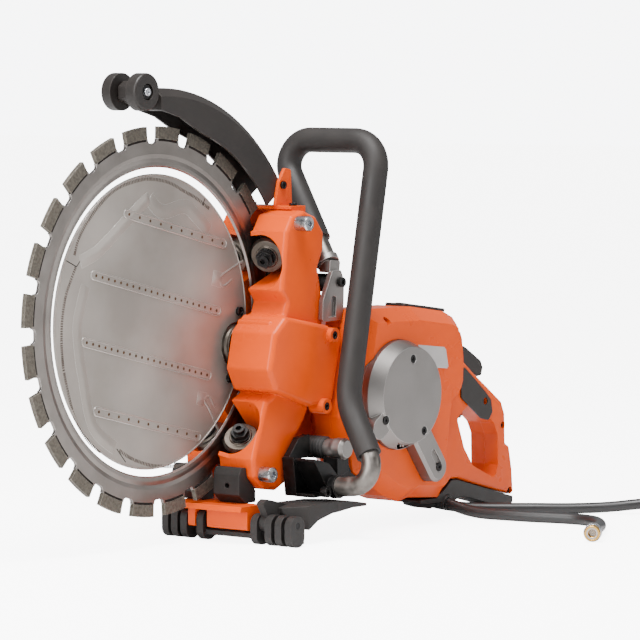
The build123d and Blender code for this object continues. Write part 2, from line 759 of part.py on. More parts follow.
def gear_case():
    """Plate with the near bearings, the motor can, the far bearing carrier and the flange to the head."""
    case = across(case_outline(0), -101, -91)
    case += tube_at(motor_x, motor_z, stator_radius + 4, stator_radius + seat_gap, -92, -62)
    case += tube_at(motor_x, motor_z, stator_radius + 4, motor_bearing_radius + seat_gap, -62.5, -60)
    case += tube_at(motor_x, motor_z, motor_bearing_radius + 3, motor_bearing_radius + seat_gap, -62, -52)
    case += across(strap((lay_x, lay_z), (336, -140), 19), -41, -32)
    case += disc_at(328, -152, 6, -62, -33) + disc_at(336, -140, 8, -50, -33)
    case += across(strap((328, -152), (336, -140), 6), -41, -33)
    flange = across(drawn([(head_rear + 0.1, -50), (head_rear + 0.1, 30), (head_rear + 6, 30), (head_rear + 6, -50)]), -55, -32)
    web = across(drawn([(head_rear + 5, -48), (head_rear + 5, 24), (300, -12), (318, -40), (296, -48)]), -41, -33)
    case += Rot(0, head_lean, 0) * (flange + web)
    case -= belt_tunnel()
    case -= disc_at(lay_x, lay_z, bearing_radius + seat_gap, -102, -91.5)
    case -= disc_at(lay_x, lay_z, shaft_radius + 1, -103, -30)
    case -= disc_at(lay_x, lay_z, bearing_radius + seat_gap, lay_bearing_far, lay_bearing_far + bearing_width + 1)
    case -= disc_at(motor_x, motor_z, motor_bearing_radius + seat_gap, -102, -91.9)
    case -= disc_at(motor_x, motor_z, motor_shaft_radius + 1, -103, -30)
    for x, z in cover_screw_places:
        case -= disc_at(x, z, 2.5 + seat_gap, -102, -92)
    return case


# Body and rear handle shells
def body_outline():
    return drawn([(251, 4), (345, 3), (411, -6), (430, -14), (439, -34), (442, -62), (441, -90), (434, -105),
                  (418, -117), (409, -170), (404, -221), (343, -216), (325, -219), (296, -210), (240, -178),
                  (226, -116)], 5)


def handle_outline():
    return drawn([(400, -50), (446, -58), (474, -79), (506, -100), (534, -119), (541, -134), (542, -169), (550, -173),
                  (556, -200), (559, -232), (505, -219), (444, -203), (432, -203), (423, -210), (402, -221), (380, -190)], 4)


def handle_opening():
    return drawn([(443, -133), (450, -128), (474, -113), (516, -143), (524, -157), (525, -194), (518, -209), (474, -190),
                  (457, -168)], 6)


def side_sign(near):
    return -1 if near else 1


def flat_side(near, outline, depth, start=0.0):
    """An outline drawn outwards from the middle plane of the body."""
    sign = side_sign(near)
    return across(outline, *sorted((body_middle + sign * start, body_middle + sign * depth)))


def bevelled_side(near, outline, depth, bevel):
    """An outline drawn outwards from the middle plane, with a bevel round its outer face."""
    sign = side_sign(near)
    straight = flat_side(near, outline, depth - bevel)
    plane = Plane.XZ.offset(-(body_middle + sign * (depth - bevel)))
    top = extrude(plane * outline, -sign * bevel, taper=bevel_angle)
    return straight + top


def housing_side(near):
    """One half of the body and rear handle: an open-sided moulded shell with screw bosses."""
    sign = side_sign(near)
    shell = bevelled_side(near, body_outline(), body_depth, body_bevel)
    grip = flat_side(near, handle_outline(), handle_half)
    face = grip.faces().sort_by(Axis.Y)[0 if near else -1]
    shell += fillet(face.edges(), 5)
    shell -= flat_side(near, handle_opening(), 60, -1)
    inner = offset(body_outline(), -shell_wall)
    hollow = flat_side(near, inner, body_depth - body_bevel, -1)
    plane = Plane.XZ.offset(-(body_middle + sign * (body_depth - body_bevel)))
    hollow += extrude(plane * inner, -sign * (body_bevel - shell_wall), taper=bevel_angle)
    inner_grip = offset(handle_outline(), -shell_wall) - offset(handle_opening(), shell_wall)
    hollow += flat_side(near, inner_grip, handle_half - shell_wall, -1)
    hollow -= flat_side(near, offset(handle_opening(), shell_wall), 70, -2)
    shell -= hollow
    whole = bevelled_side(near, body_outline(), body_depth, body_bevel) + flat_side(near, handle_outline(), handle_half)
    for x, z in boss_places:
        depth = handle_half if x > 440 else body_depth
        shell += flat_side(near, Pos(x, z) * Circle(boss_radius), depth - 2) & whole
        shell -= flat_side(near, Pos(x, z) * Circle(4.4), depth + 10, 13 if depth < 30 else 20)
        shell -= flat_side(near, Pos(x, z) * Circle(1.8), depth, -1)
    neck = Rot(0, head_lean, 0) * across(drawn([(200, -56), (200, 40), (head_rear + 12, 40), (head_rear + 12, -56)]), -64, 60)
    shell -= neck
    if near:
        shell -= across(case_outline(0.5), body_near - 30, body_near + 20)
    for pivot, pin_radius, half in ((trigger_pivot, trigger_pin_radius, trigger_half), (lock_pivot, lock_pin_radius, lock_half)):
        shell += flat_side(near, Pos(*pivot) * Circle(pin_radius + 3), 24, half + 0.6) & whole
        shell -= flat_side(near, Pos(*pivot) * Circle(pin_radius + seat_gap), handle_half - 1, -1)
    shell -= flat_side(near, trigger_slot(), trigger_half + 0.6, -1)
    shell -= flat_side(near, lock_slot(), lock_half + 0.6, -1)
    return shell - cable_gland(0.3) - hose_gland(0.3)


def on_crown(piece):
    """Places a piece drawn on a flat crown onto the sloping one."""
    return Pos(crown_x, body_middle, crown_z) * Rot(0, crown_slope, 0) * piece


def top_panel():
    """Control strip on the crown of the body, with a well for each button."""
    outline = Pos(panel_length / 2 + 2, 0) * RectangleRounded(panel_length, panel_width, 8)
    plate = extrude(Plane.XY.offset(seat_gap) * outline, panel_height)
    plate = chamfer(plate.faces().sort_by(Axis.Z)[-1].edges(), 1)
    for x, radius in button_places:
        plate -= extrude(Plane.XY.offset(0.8) * Pos(x, 0) * Circle(radius + 0.4), panel_height)
    return on_crown(plate)


def panel_button(place):
    """Round push button in its well."""
    x, radius = place
    cap = extrude(Plane.XY.offset(0.8 + button_travel) * Pos(x, 0) * Circle(radius), button_height)
    return on_crown(chamfer(cap.edges().sort_by(Axis.Z)[-1], 0.6))


# Trigger and its lock in the rear handle
def trigger():
    """Finger lever under the grip, on a cross pin near the body."""
    blade = drawn([(446, -112), (444, -131), (456, -137), (461, -134), (470, -124), (466, -112), (458, -102), (446, -102)], 2)
    lever = across(blade, body_middle - trigger_half, body_middle + trigger_half)
    return lever - disc_at(*trigger_pivot, trigger_pin_radius + seat_gap, -100, -30)


def trigger_slot():
    return drawn([(441, -98), (441, -141), (464, -142), (477, -128), (473, -108), (462, -98)])


def trigger_lock():
    """Palm lever on top of the grip, on its own cross pin."""
    blade = drawn([(465, -56), (471, -50), (478, -53), (507, -70), (511, -78), (508, -87), (497, -88), (484, -84),
                   (478, -96), (469, -96)], 1.8)
    lever = across(blade, body_middle - lock_half, body_middle + lock_half)
    return lever - disc_at(*lock_pivot, lock_pin_radius + seat_gap, -100, -30)


def lock_slot():
    return drawn([(463, -45), (463, -100), (482, -100), (493, -86), (493, -45)])


def handle_pins():
    """Cross pins of the trigger and of its lock."""
    reach = handle_half - 1.5
    pins = []
    for pivot, radius in ((trigger_pivot, trigger_pin_radius), (lock_pivot, lock_pin_radius)):
        pins.append(disc_at(*pivot, radius, body_middle - reach, body_middle + reach))
    return pins


def trigger_switch():
    """Snap switch that stands on the bosses of the trigger's pin."""
    top = trigger_pivot[1] + trigger_pin_radius + 3
    return across(drawn([(441, top + 0.3), (441, -84), (459, -84), (459, top + 0.3)], 1), body_middle - 15, body_middle + 15)


def motor_controller():
    """Cast box with cooling fins, against the wall of the far shell."""
    far = body_far - shell_wall - 0.3
    box = across(drawn([(345, -92), (345, -36), (410, -36), (410, -92)], 3), far - 44, far)
    for i in range(9):
        box -= across(Pos(353 + 6 * i, -64) * Rectangle(3, 48), far - 45, far - 32)
    return box


def handle_pads():
    """Soft grip pads let into both sides of the rear handle."""
    outline = drawn([(449, -74), (456, -74), (497, -105), (508, -115), (511, -130), (503, -139), (489, -136), (449, -109)], 4)
    pads = []
    for near in (True, False):
        pad = flat_side(near, outline, handle_half + 2, handle_half + seat_gap)
        pad -= bevelled_side(near, offset(body_outline(), 0.3), body_depth, body_bevel)
        pads.append(pad - flat_side(near, Pos(*boss_places[4]) * Circle(4.4), 60))
    return pads


def base_pad():
    """Dark wear pad under the body and the lower beam of the handle."""
    outline = drawn([(372, -222), (403, -222.5), (423, -211.5), (432, -204.5), (444, -204.5), (505, -220.5), (555, -233),
                     (555, -240), (545, -245.9), (455, -224), (435, -229), (372, -226)], 1.5)
    pad = across(outline, body_middle - handle_half, body_middle + handle_half)
    room = cable_radius + 1.3
    way = gland(cable_points, 0, [(0, -1), (room, -1), (room, 24), (0, 24)])
    hose_room = hose_radius + 1.3
    way += gland(hose_points, 0, [(0, -1), (hose_room, -1), (hose_room, 24), (0, 24)])
    return pad - cable_gland(0.3) - hose_gland(0.3) - way


# Front loop handle
def on_loop(y, z):
    """A point in the leaned plane of the loop."""
    return (loop_x - (loop_z - z) * math.tan(math.radians(loop_lean)), y, z)


def loop_path(first, last):
    return FilletPolyline(*[on_loop(*point) for point in (first, *loop_corners, last)], radius=loop_radii)


def between(start, end, share):
    return tuple(a + (b - a) * share for a, b in zip(start, end))


def swept_tube(path, outer, inner):
    start = Plane(origin=path @ 0, z_dir=path % 0)
    return sweep(start * (Circle(outer) - Circle(inner)), path=path)


def front_handle():
    return swept_tube(loop_path(loop_start, loop_end), loop_tube_radius, loop_tube_radius - loop_tube_wall)


def front_handle_grip():
    """Rubber sleeve on the loop, from above the lower bend to near the upper end."""
    first = between(loop_corners[0], loop_corners[1], 0.36)
    last = between(loop_corners[3], loop_end, 0.82)
    points = [on_loop(*point) for point in (first, *loop_corners[1:], last)]
    path = FilletPolyline(*points, radius=loop_radii[1:])
    return swept_tube(path, loop_grip_radius, loop_tube_radius + seat_gap)


def tube_socket(start, towards, outer, back, front):
    """A collar round the end of the loop tube, with a floor behind the tube's end."""
    place = Location(Plane(origin=start, z_dir=towards))
    collar = place * Pos(0, 0, (front - back) / 2) * Cylinder(outer, front + back)
    return collar, place * Pos(0, 0, 50) * Cylinder(loop_tube_radius + seat_gap, 100)


def lower_bracket():
    """Dark cast bracket that clamps the lower end of the loop and runs back under the body."""
    near = -106
    block = across(drawn([(150, -198.5), (188, -198.5), (188, -176), (173, -162), (144, -154)], 2), -78, -62)
    block += across(drawn([(177, -198.5), (188, -198.5), (188, -176), (173, -162), (144, -154)], 2), near, -77.9)
    block -= across(drawn([(177, -194), (183, -194), (183, -177), (172, -167), (156, -162.5)], 1), near + 9, -68)
    block += across(drawn([(150, -198.5), (177, -198.5), (177, -195), (150, -195)]), near + 4, -77)
    block += across(drawn([(144, -158), (165, -135), (184, -132), (184, -158)], 2), -70, -62)
    block += across(drawn([(180, -197), (250, -203), (268, -203), (268, -195.2), (239, -178.9), (235, -170), (182, -176)], 2), -86, -62)
    saddle = across(drawn([(196, -180), (196, -158), (216, -158), (216, -174)], 1), -100, -80)
    block += saddle - disc_at(*lower_boot, 12.3, -140, -60)
    path = loop_path(loop_start, loop_end)
    collar, bore = tube_socket(path @ 0, path % 0, collar_radius, 3, 6)
    return block + collar - bore


def upper_arm():
    """Silver arm that takes the upper end of the loop down to the front of the body."""
    outline = drawn([(231, 48), (222, 31), (213.5, 14), (212.5, -8.5), (247.5, -8.5), (251, 10), (252, 36), (246, 48)], 3)
    arm = across(outline, -66, -60)
    arm -= across(drawn([(231, 20), (238, 18), (236, -4), (222, -4), (223, 8)], 2), -67, -62.5)
    arm += across(drawn([(230, 45.5), (248, 45.5), (250, 58), (232, 60)], 2), -62, -47)
    path = loop_path(loop_start, loop_end)
    collar, bore = tube_socket(path @ 1, (path % 1) * -1, 13.4, 1, 6)
    return arm + collar - bore - disc_at(*upper_boot, upper_boot_radius + 0.6, -59.9, -20)


def bellows(boot, radius, y_near, y_far):
    """Ribbed rubber boot over a spring, along Y."""
    x, z = boot
    length = y_far - y_near
    count = round(length / boot_pitch)
    step = length / count
    low = radius - 2.5
    points = [(4, 0)]
    for i in range(count):
        points += [(low, step * i), (radius, step * (i + 0.5))]
    points += [(low, length), (4, length)]
    return Location(Plane(origin=(x, y_near, z), x_dir=(1, 0, 0), z_dir=(0, 1, 0))) * turned(points)


def spring_cup():
    """Silver cup at the near end of the lower boot."""
    x, z = lower_boot
    cup = turned([(0, 0), (10, 0), (10.5, 8), (12, 14), (12, 24), (9.5, 28), (0, 28)])
    return Location(Plane(origin=(x, -78.3, z), x_dir=(1, 0, 0), z_dir=(0, -1, 0))) * cup


# Blade guard and the rollers at its nose
def guard_arc(points, first, last):
    """A radius-and-width section swept round the ring between two angles from the top."""
    solid = revolve(make_face(Polyline(*points, close=True)), Axis.Y, revolution_arc=last - first)
    return Rot(0, first - 90, 0) * solid


def blade_guard():
    """U-section guard over the top of the ring with a tongue for the nose rollers."""
    rim = ring_radius
    shoulder = 9
    wall = guard_wall
    outer = [(rim, guard_near), (guard_crown - shoulder, guard_near), (guard_crown, guard_near + shoulder),
             (guard_crown, guard_far - shoulder), (guard_crown - shoulder, guard_far), (rim, guard_far)]
    inner = [(rim, guard_far - wall), (guard_crown - shoulder - 1, guard_far - wall),
             (guard_crown - wall, guard_far - shoulder - 1), (guard_crown - wall, guard_near + shoulder + 1),
             (guard_crown - shoulder - 1, guard_near + wall), (rim, guard_near + wall)]
    guard = guard_arc(outer + inner, guard_from, guard_to)
    cap = [(rim + 3, guard_near + wall), (guard_crown - 5, guard_near + wall), (guard_crown - 5, guard_far - wall),
           (rim + 3, guard_far - wall)]
    guard += guard_arc(cap, guard_from, guard_from + 1.2)
    guard -= across(make_face(Polyline(*guard_cut, close=True)), -30, 30)
    tongue = drawn([(0, 233), (0, 252), (nose_x, nose_z + 12), (nose_x - 9, nose_z + 6), (nose_x - 9, nose_z - 8), (-22, 232)], 3)
    guard += across(tongue, -8, 10)
    guard -= disc_at(*bracket_screw, 2.5 + seat_gap, -30, 0)
    return guard - disc_at(nose_x, nose_z, nose_axle_radius + seat_gap, -20, 30)


def nose_rollers():
    wheels = []
    for low, high in ((-24, -10), (12, 26)):
        wheel = tube_at(nose_x, nose_z, nose_radius, nose_axle_radius + seat_gap, low, high)
        outside = wheel.faces().filter_by(GeomType.PLANE).sort_by(Axis.Y)[0 if low < 0 else -1]
        edges = outside.edges().sort_by(SortBy.LENGTH)
        wheel = fillet(edges[-1], 3)
        wheel -= disc_at(nose_x, nose_z, 9, low - 1, low + 4) if low < 0 else disc_at(nose_x, nose_z, 9, high - 4, high + 1)
        wheels.append(wheel)
    return wheels


def nose_axle():
    axle = disc_at(nose_x, nose_z, nose_axle_radius, -20.3, 22.3)
    axle += disc_at(nose_x, nose_z, 7.5, -22.5, -20.3) + disc_at(nose_x, nose_z, 7.5, 22.3, 24.5)
    return axle - across(Pos(nose_x, nose_z) * RegularPolygon(3, 6), -23, -21)


def guard_bracket():
    """Orange bracket between the near ear and the end of the guard."""
    plate = drawn([(183, 120), (190, 148), (201, 163), (211, 161), (213, 120)], 3)
    side = across(plate, -22, guard_near - seat_gap)
    ear_line = [(187, 117.42), (187, bracket_top), (213, bracket_top), (213, 112), (211, 109.52), (190, 116.43)]
    bracket = side + across(drawn(ear_line), -41, 32)
    bracket -= disc_at(*bracket_screw, 2.5 + seat_gap, -30, 0)
    for y in ear_screw_rows:
        bracket -= Pos(ear_screw_x, y, bracket_top) * Cylinder(2.5 + seat_gap, 40)
    return bracket


# Screws
def head_screws():
    """Socket screws of the head: centre disc, guard bracket and cover to neck."""
    screws = []
    for side in (1, -1):
        place = facing_near(disc_screw_x, disc_offset, side * disc_screw_z)
        screws.append(place * cap_screw(disc_screw_radius, 20, 5, 3.5))
    for x, z in lug_screws:
        screws.append(facing_near(x, lug_face + 4.5, z) * cap_screw(2.5, 30, 4.8, 4))
    return screws


def body_screws():
    """Sunk socket screws of the gear cover and the body shells, and the bracket bolt."""
    screws = []
    for x, z in cover_screw_places:
        screws.append(facing_near(x, -120, z) * cap_screw(2.5, 26, 4.6, 2.6))
    for x, z in boss_places:
        near_side = body_middle - (13 if x > 440 else 20)
        screws.append(facing_near(x, near_side, z) * cap_screw(1.75, 26, 3.9, 3))
    screws.append(facing_near(bracket_screw[0], -22.05, bracket_screw[1]) * cap_screw(2.5, 8, 4.5, 2.6))
    for y in ear_screw_rows:
        screws.append(Pos(ear_screw_x, y, bracket_top + 0.05) * cap_screw(2.5, 18, 4.5, 3))
    screws.append(facing_near(162.5, -106.05, -192.5) * cap_screw(4, 0.01, 6, 7))
    screws.append(facing_near(245, -66.05, 34.5) * cap_screw(4, 0.01, 5.5, 4))
    return screws


# Cords
def cord_radii(points):
    """Bend radius at each corner, as large as its two runs allow."""
    radii = []
    for before, here, after in zip(points, points[1:], points[2:]):
        first = Vector(*here) - Vector(*before)
        second = Vector(*after) - Vector(*here)
        turn = math.radians(first.get_angle(second))
        radii.append(0.45 * min(first.length, second.length) / math.tan(turn / 2))
    return radii


def cord(name, points, radius):
    radii = cord_radii(points)
    path = FilletPolyline(*points, radius=radii)
    tube = sweep(Plane(origin=path @ 0, z_dir=path % 0) * Circle(radius), path=path)
    share = tube.volume / (math.pi * radius ** 2 * path.length)
    print(name, "length", round(path.length), "radii", [round(value) for value in radii], "volume share", round(share, 4))
    return tube, path


connector_nose = 12.0
coupling_bore = 4.0
connector_profile = [(0, 0.05), (9, 0.05), (9, 18), (connector_radius, 24), (connector_radius, 56),
                     (connector_nose, 56), (connector_nose, 70), (0, 70)]
coupling_profile = [(0, 0.05), (8, 0.05), (8, 8), (coupling_radius, 9), (coupling_radius, 22), (8.5, 23), (8.5, 27),
                    (coupling_bore, 27), (coupling_bore, 15), (0, 15)]


def along(path_end, direction, profile):
    """A turned piece placed on the end of a cord."""
    return Location(Plane(origin=path_end, z_dir=direction)) * turned(profile)


def gland(points, back, profile):
    """A strain relief turned about the first run of a cord, ending where the cord begins."""
    first = Vector(*points[0])
    heading = (Vector(*points[1]) - first).normalized()
    return Location(Plane(origin=first - heading * back, z_dir=heading)) * turned(profile)


def cable_gland(grow=0.0):
    big = 11 + grow
    small = 8.2 + grow
    return gland(cable_points, 34, [(0, -grow), (big, -grow), (big, 12), (small, 34), (0, 34)])


def hose_gland(grow=0.0):
    big = 9 + grow
    return gland(hose_points, 9, [(0, -grow), (big, -grow), (big, 9), (0, 9)])


keep("ring_blade_core", at_rest * ring_blade_core())
keep("blade_segments", *[at_rest * piece for piece in blade_segments()])
keep("centre_disc", at_head * centre_disc())
keep("roller_cover", at_head * roller_cover())
keep("chassis", at_head * (chassis() + in_head * foot_beam()))
for side, side_name in ((-1, "near"), (1, "far")):
    for up, height_name in ((1, "upper"), (-1, "lower")):
        nest = at_head * Location(roller_plane(side, up))
        keep(f"{side_name}_{height_name}_roller", nest * roller())
for up, height_name in ((1, "upper"), (-1, "lower")):
    nest = at_head * Location(roller_plane(-1, up))
    keep(f"{height_name}_roller_arm", at_head * roller_arm(-1, up))
    keep(f"{height_name}_roller_bolt", nest * roller_bolt(18))
    keep(f"{height_name}_adjuster", at_head * adjuster(up))
keep("far_roller_bolts", *[at_head * Location(roller_plane(1, up)) * roller_bolt(30) for up in (1, -1)])
pins = [at_head * arm_pin(-1, up) for up in (1, -1)] + [at_rest * pin for pin in foot_pins() + handle_pins()]
keep("hinge_pins", *pins)
keep("drive_wheel", at_head * drive_wheel())
keep("drive_shaft", at_head * drive_shaft())
keep("drive_belt", at_rest * drive_belt())
keep("lay_shaft", at_rest * lay_shaft())
keep("drive_gear", at_rest * drive_gear())
keep("motor_pinion", at_rest * motor_pinion())
keep("motor_rotor", at_rest * motor_rotor())
keep("cooling_fan", at_rest * cooling_fan())
keep("motor_stator", *[at_rest * piece for piece in [motor_stator(), *stator_coils()]])
keep("ball_bearings", *ball_bearings())
keep("gear_case", at_rest * gear_case())
keep("gear_cover", at_rest * gear_cover())
keep("housing_left", at_rest * housing_side(True))
keep("housing_right", at_rest * housing_side(False))
keep("top_panel", at_rest * top_panel())
for place, button_name in zip(button_places, ("power_button", "more_water_button", "less_water_button")):
    keep(button_name, at_rest * panel_button(place))
keep("trigger", at_rest * trigger())
keep("trigger_lock", at_rest * trigger_lock())
keep("trigger_switch", at_rest * trigger_switch())
keep("motor_controller", at_rest * motor_controller())
keep("handle_pads", *[at_rest * pad for pad in handle_pads()])
keep("base_pad", at_rest * base_pad())
keep("front_handle", at_rest * front_handle())
keep("front_handle_grip", at_rest * front_handle_grip())
keep("lower_handle_bracket", at_rest * lower_bracket())
keep("upper_handle_arm", at_rest * upper_arm())
boots = [bellows(upper_boot, upper_boot_radius, -59.6, -36), bellows(lower_boot, lower_boot_radius, -78, -41)]
keep("spring_boots", *[at_rest * boot for boot in boots])
keep("spring_cup", at_rest * spring_cup())
keep("blade_guard", at_rest * blade_guard())
keep("guard_bracket", at_rest * guard_bracket())
keep("nose_rollers", *[at_rest * wheel for wheel in nose_rollers()])
keep("nose_axle", at_rest * nose_axle())
keep("bumper_blocks", at_rest * bumper(-1), at_rest * bumper(1))
keep("feet", at_rest * foot(near_fins), at_rest * foot(far_fins), at_rest * foot_bar())
keep("splash_wing", at_rest * splash_wing())
screws = [at_head * screw for screw in head_screws()] + [at_rest * screw for screw in body_screws()]
keep("cap_screws", *screws)
keep("cord_glands", at_rest * cable_gland(), at_rest * hose_gland())
cable, cable_path = cord("cable", cable_points, cable_radius)
keep("power_cable", at_rest * cable)
keep("cable_connector", at_rest * along(cable_path @ 1, cable_path % 1, connector_profile))
hose, hose_path = cord("hose", hose_points, hose_radius)
keep("water_hose", at_rest * hose)
keep("hose_coupling", at_rest * along(hose_path @ 1, hose_path % 1, coupling_profile))
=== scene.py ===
import math

import bmesh
import bpy
from mathutils import Matrix, Vector


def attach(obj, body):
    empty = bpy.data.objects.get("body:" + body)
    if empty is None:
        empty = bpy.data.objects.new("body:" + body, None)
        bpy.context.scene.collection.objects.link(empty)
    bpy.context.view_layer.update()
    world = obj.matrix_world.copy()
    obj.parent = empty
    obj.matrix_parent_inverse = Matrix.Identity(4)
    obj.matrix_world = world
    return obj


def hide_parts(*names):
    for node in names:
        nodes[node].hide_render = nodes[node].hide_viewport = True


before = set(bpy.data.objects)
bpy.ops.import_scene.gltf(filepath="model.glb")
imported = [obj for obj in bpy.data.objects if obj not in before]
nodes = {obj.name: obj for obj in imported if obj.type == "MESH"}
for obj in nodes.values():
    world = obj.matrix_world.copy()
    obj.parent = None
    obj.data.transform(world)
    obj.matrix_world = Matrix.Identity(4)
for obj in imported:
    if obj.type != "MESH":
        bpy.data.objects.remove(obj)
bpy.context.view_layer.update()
print("frame loaded:", len(nodes), "parts")

# The saw's own datum is the centre of the ring blade, in millimetres and degrees, as in the part's source.
datum = {"x": -173.0, "y": 53.9, "z": 246.0, "headLean": 13.3}


def fromDatum(x, y, z):
    # datum millimetres to frame metres
    return Vector((x + datum["x"], y + datum["y"], z + datum["z"])) / 1000


ringCentre = fromDatum(0, 0, 0)
headPlace = Matrix.Translation(ringCentre) @ Matrix.Rotation(math.radians(datum["headLean"]), 4, "Y")


def fromHead(x, y, z):
    # millimetres in the leaned frame of the cutting head
    return headPlace @ Vector((x / 1000, y / 1000, z / 1000))


def linear(hexColour):
    # sRGB hex to the linear colour that the shaders take
    parts = [int(hexColour[i:i + 2], 16) / 255 for i in (1, 3, 5)]
    return [c / 12.92 if c <= 0.04045 else ((c + 0.055) / 1.055) ** 2.4 for c in parts] + [1.0]


def addNode(owner, kind, settings=None, inputs=None):
    # the owner is a material or the world; an input is a value, or the socket that feeds it
    node = owner.node_tree.nodes.new("ShaderNode" + kind)
    for name, value in (settings or {}).items():
        setattr(node, name, value)
    for name, value in (inputs or {}).items():
        if isinstance(value, bpy.types.NodeSocket):
            owner.node_tree.links.new(value, node.inputs[name])
        else:
            node.inputs[name].default_value = value
    return node


# Camera: a long lens at the photograph's viewing angle; place in datum millimetres, angles in degrees
cameraView = {"place": (-3304.69, -2812.19, 296.99), "turn": -51.98, "down": 3.89, "lens": 225.0,
              "sensorWidth": 36.0, "farLimit": 60.0}

cameraData = bpy.data.cameras.new("studioCamera")
cameraData.lens = cameraView["lens"]
cameraData.sensor_width = cameraView["sensorWidth"]
cameraData.clip_end = cameraView["farLimit"]
camera = bpy.data.objects.new("studioCamera", cameraData)
camera.location = fromDatum(*cameraView["place"])
camera.rotation_euler = (math.radians(90 - cameraView["down"]), 0, math.radians(cameraView["turn"]))
bpy.context.scene.collection.objects.link(camera)
bpy.context.scene.camera = camera
print("camera placed")

# Studio: a pale floor, a pale sky and three soft boxes, in metres and watts, measured from the floor under
# the middle of the saw. skySeen and floorSeen are how bright the two look; they add no light to the saw.
studio = {
    "floorSize": 30.0, "floorColour": "#F7F7F7", "floorRough": 0.6, "floorSeen": 7.2,
    "skyColour": "#F5F6F8", "skyStrength": 0.55, "skySeen": 8.0,
    "boxes": [
        {"name": "overheadBox", "place": (-0.5, -0.3, 2.2), "aim": (0, 0, 0.2),
         "size": (1.4, 0.9), "power": 105.0},
        {"name": "leftBox", "place": (-2.6, 0.1, 1.3), "aim": (0, 0, 0.25),
         "size": (1.2, 1.6), "power": 85.0},
        {"name": "rightBox", "place": (1.6, -2.6, 1.0), "aim": (0, 0, 0.2),
         "size": (1.0, 1.4), "power": 12.0},
    ],
}


def buildStudio():
    world = bpy.data.worlds.new("paleSky")
    bpy.context.scene.world = world
    world.use_nodes = True
    sky = world.node_tree.nodes["Background"]
    sky.inputs["Color"].default_value = linear(studio["skyColour"])
    strength = addNode(world, "MapRange", inputs={
        "Value": addNode(world, "LightPath").outputs["Is Camera Ray"],
        "To Min": studio["skyStrength"], "To Max": studio["skySeen"]})
    world.node_tree.links.new(strength.outputs["Result"], sky.inputs["Strength"])
    for box in studio["boxes"]:
        light = bpy.data.lights.new(box["name"], "AREA")
        light.shape = "RECTANGLE"
        light.size, light.size_y = box["size"]
        light.energy = box["power"]
        lamp = bpy.data.objects.new(box["name"], light)
        lamp.location = box["place"]
        towards = Vector(box["aim"]) - Vector(box["place"])
        lamp.rotation_euler = towards.to_track_quat("-Z", "Y").to_euler()
        bpy.context.scene.collection.objects.link(lamp)
    half = studio["floorSize"] / 2
    corners = [(-half, -half, 0), (half, -half, 0), (half, half, 0), (-half, half, 0)]
    sheet = bpy.data.meshes.new("studioFloor")
    sheet.from_pydata(corners, [], [(0, 1, 2, 3)])
    floor = bpy.data.objects.new("studioFloor", sheet)
    bpy.context.scene.collection.objects.link(floor)
    paper = bpy.data.materials.new("mattPaper")
    paper.use_nodes = True
    shader = paper.node_tree.nodes["Principled BSDF"]
    shader.inputs["Base Color"].default_value = linear(studio["floorColour"])
    shader.inputs["Roughness"].default_value = studio["floorRough"]
    shader.inputs["Emission Color"].default_value = linear(studio["floorColour"])
    glow = addNode(paper, "MapRange", inputs={
        "Value": addNode(paper, "LightPath").outputs["Is Camera Ray"],
        "To Min": 0.0, "To Max": studio["floorSeen"]})
    paper.node_tree.links.new(glow.outputs["Result"], shader.inputs["Emission Strength"])
    floor.data.materials.append(paper)


buildStudio()
print("studio built")

# Surfaces. Sizes of patterns are in millimetres: mottle is the slow change of tone and of gloss, grain is the
# fine relief, and the paler edge colour comes in where the skin bends over an edge: a painted highlight,
# on bare metal partly rubbed edges as well.
surfaceFacts = {"mottleDetail": 4.0, "mottleFrom": 0.3, "mottleTo": 0.7, "grainDetail": 2.0, "edgeSamples": 6,
                "flatBend": 0.995, "fullBend": 0.86}


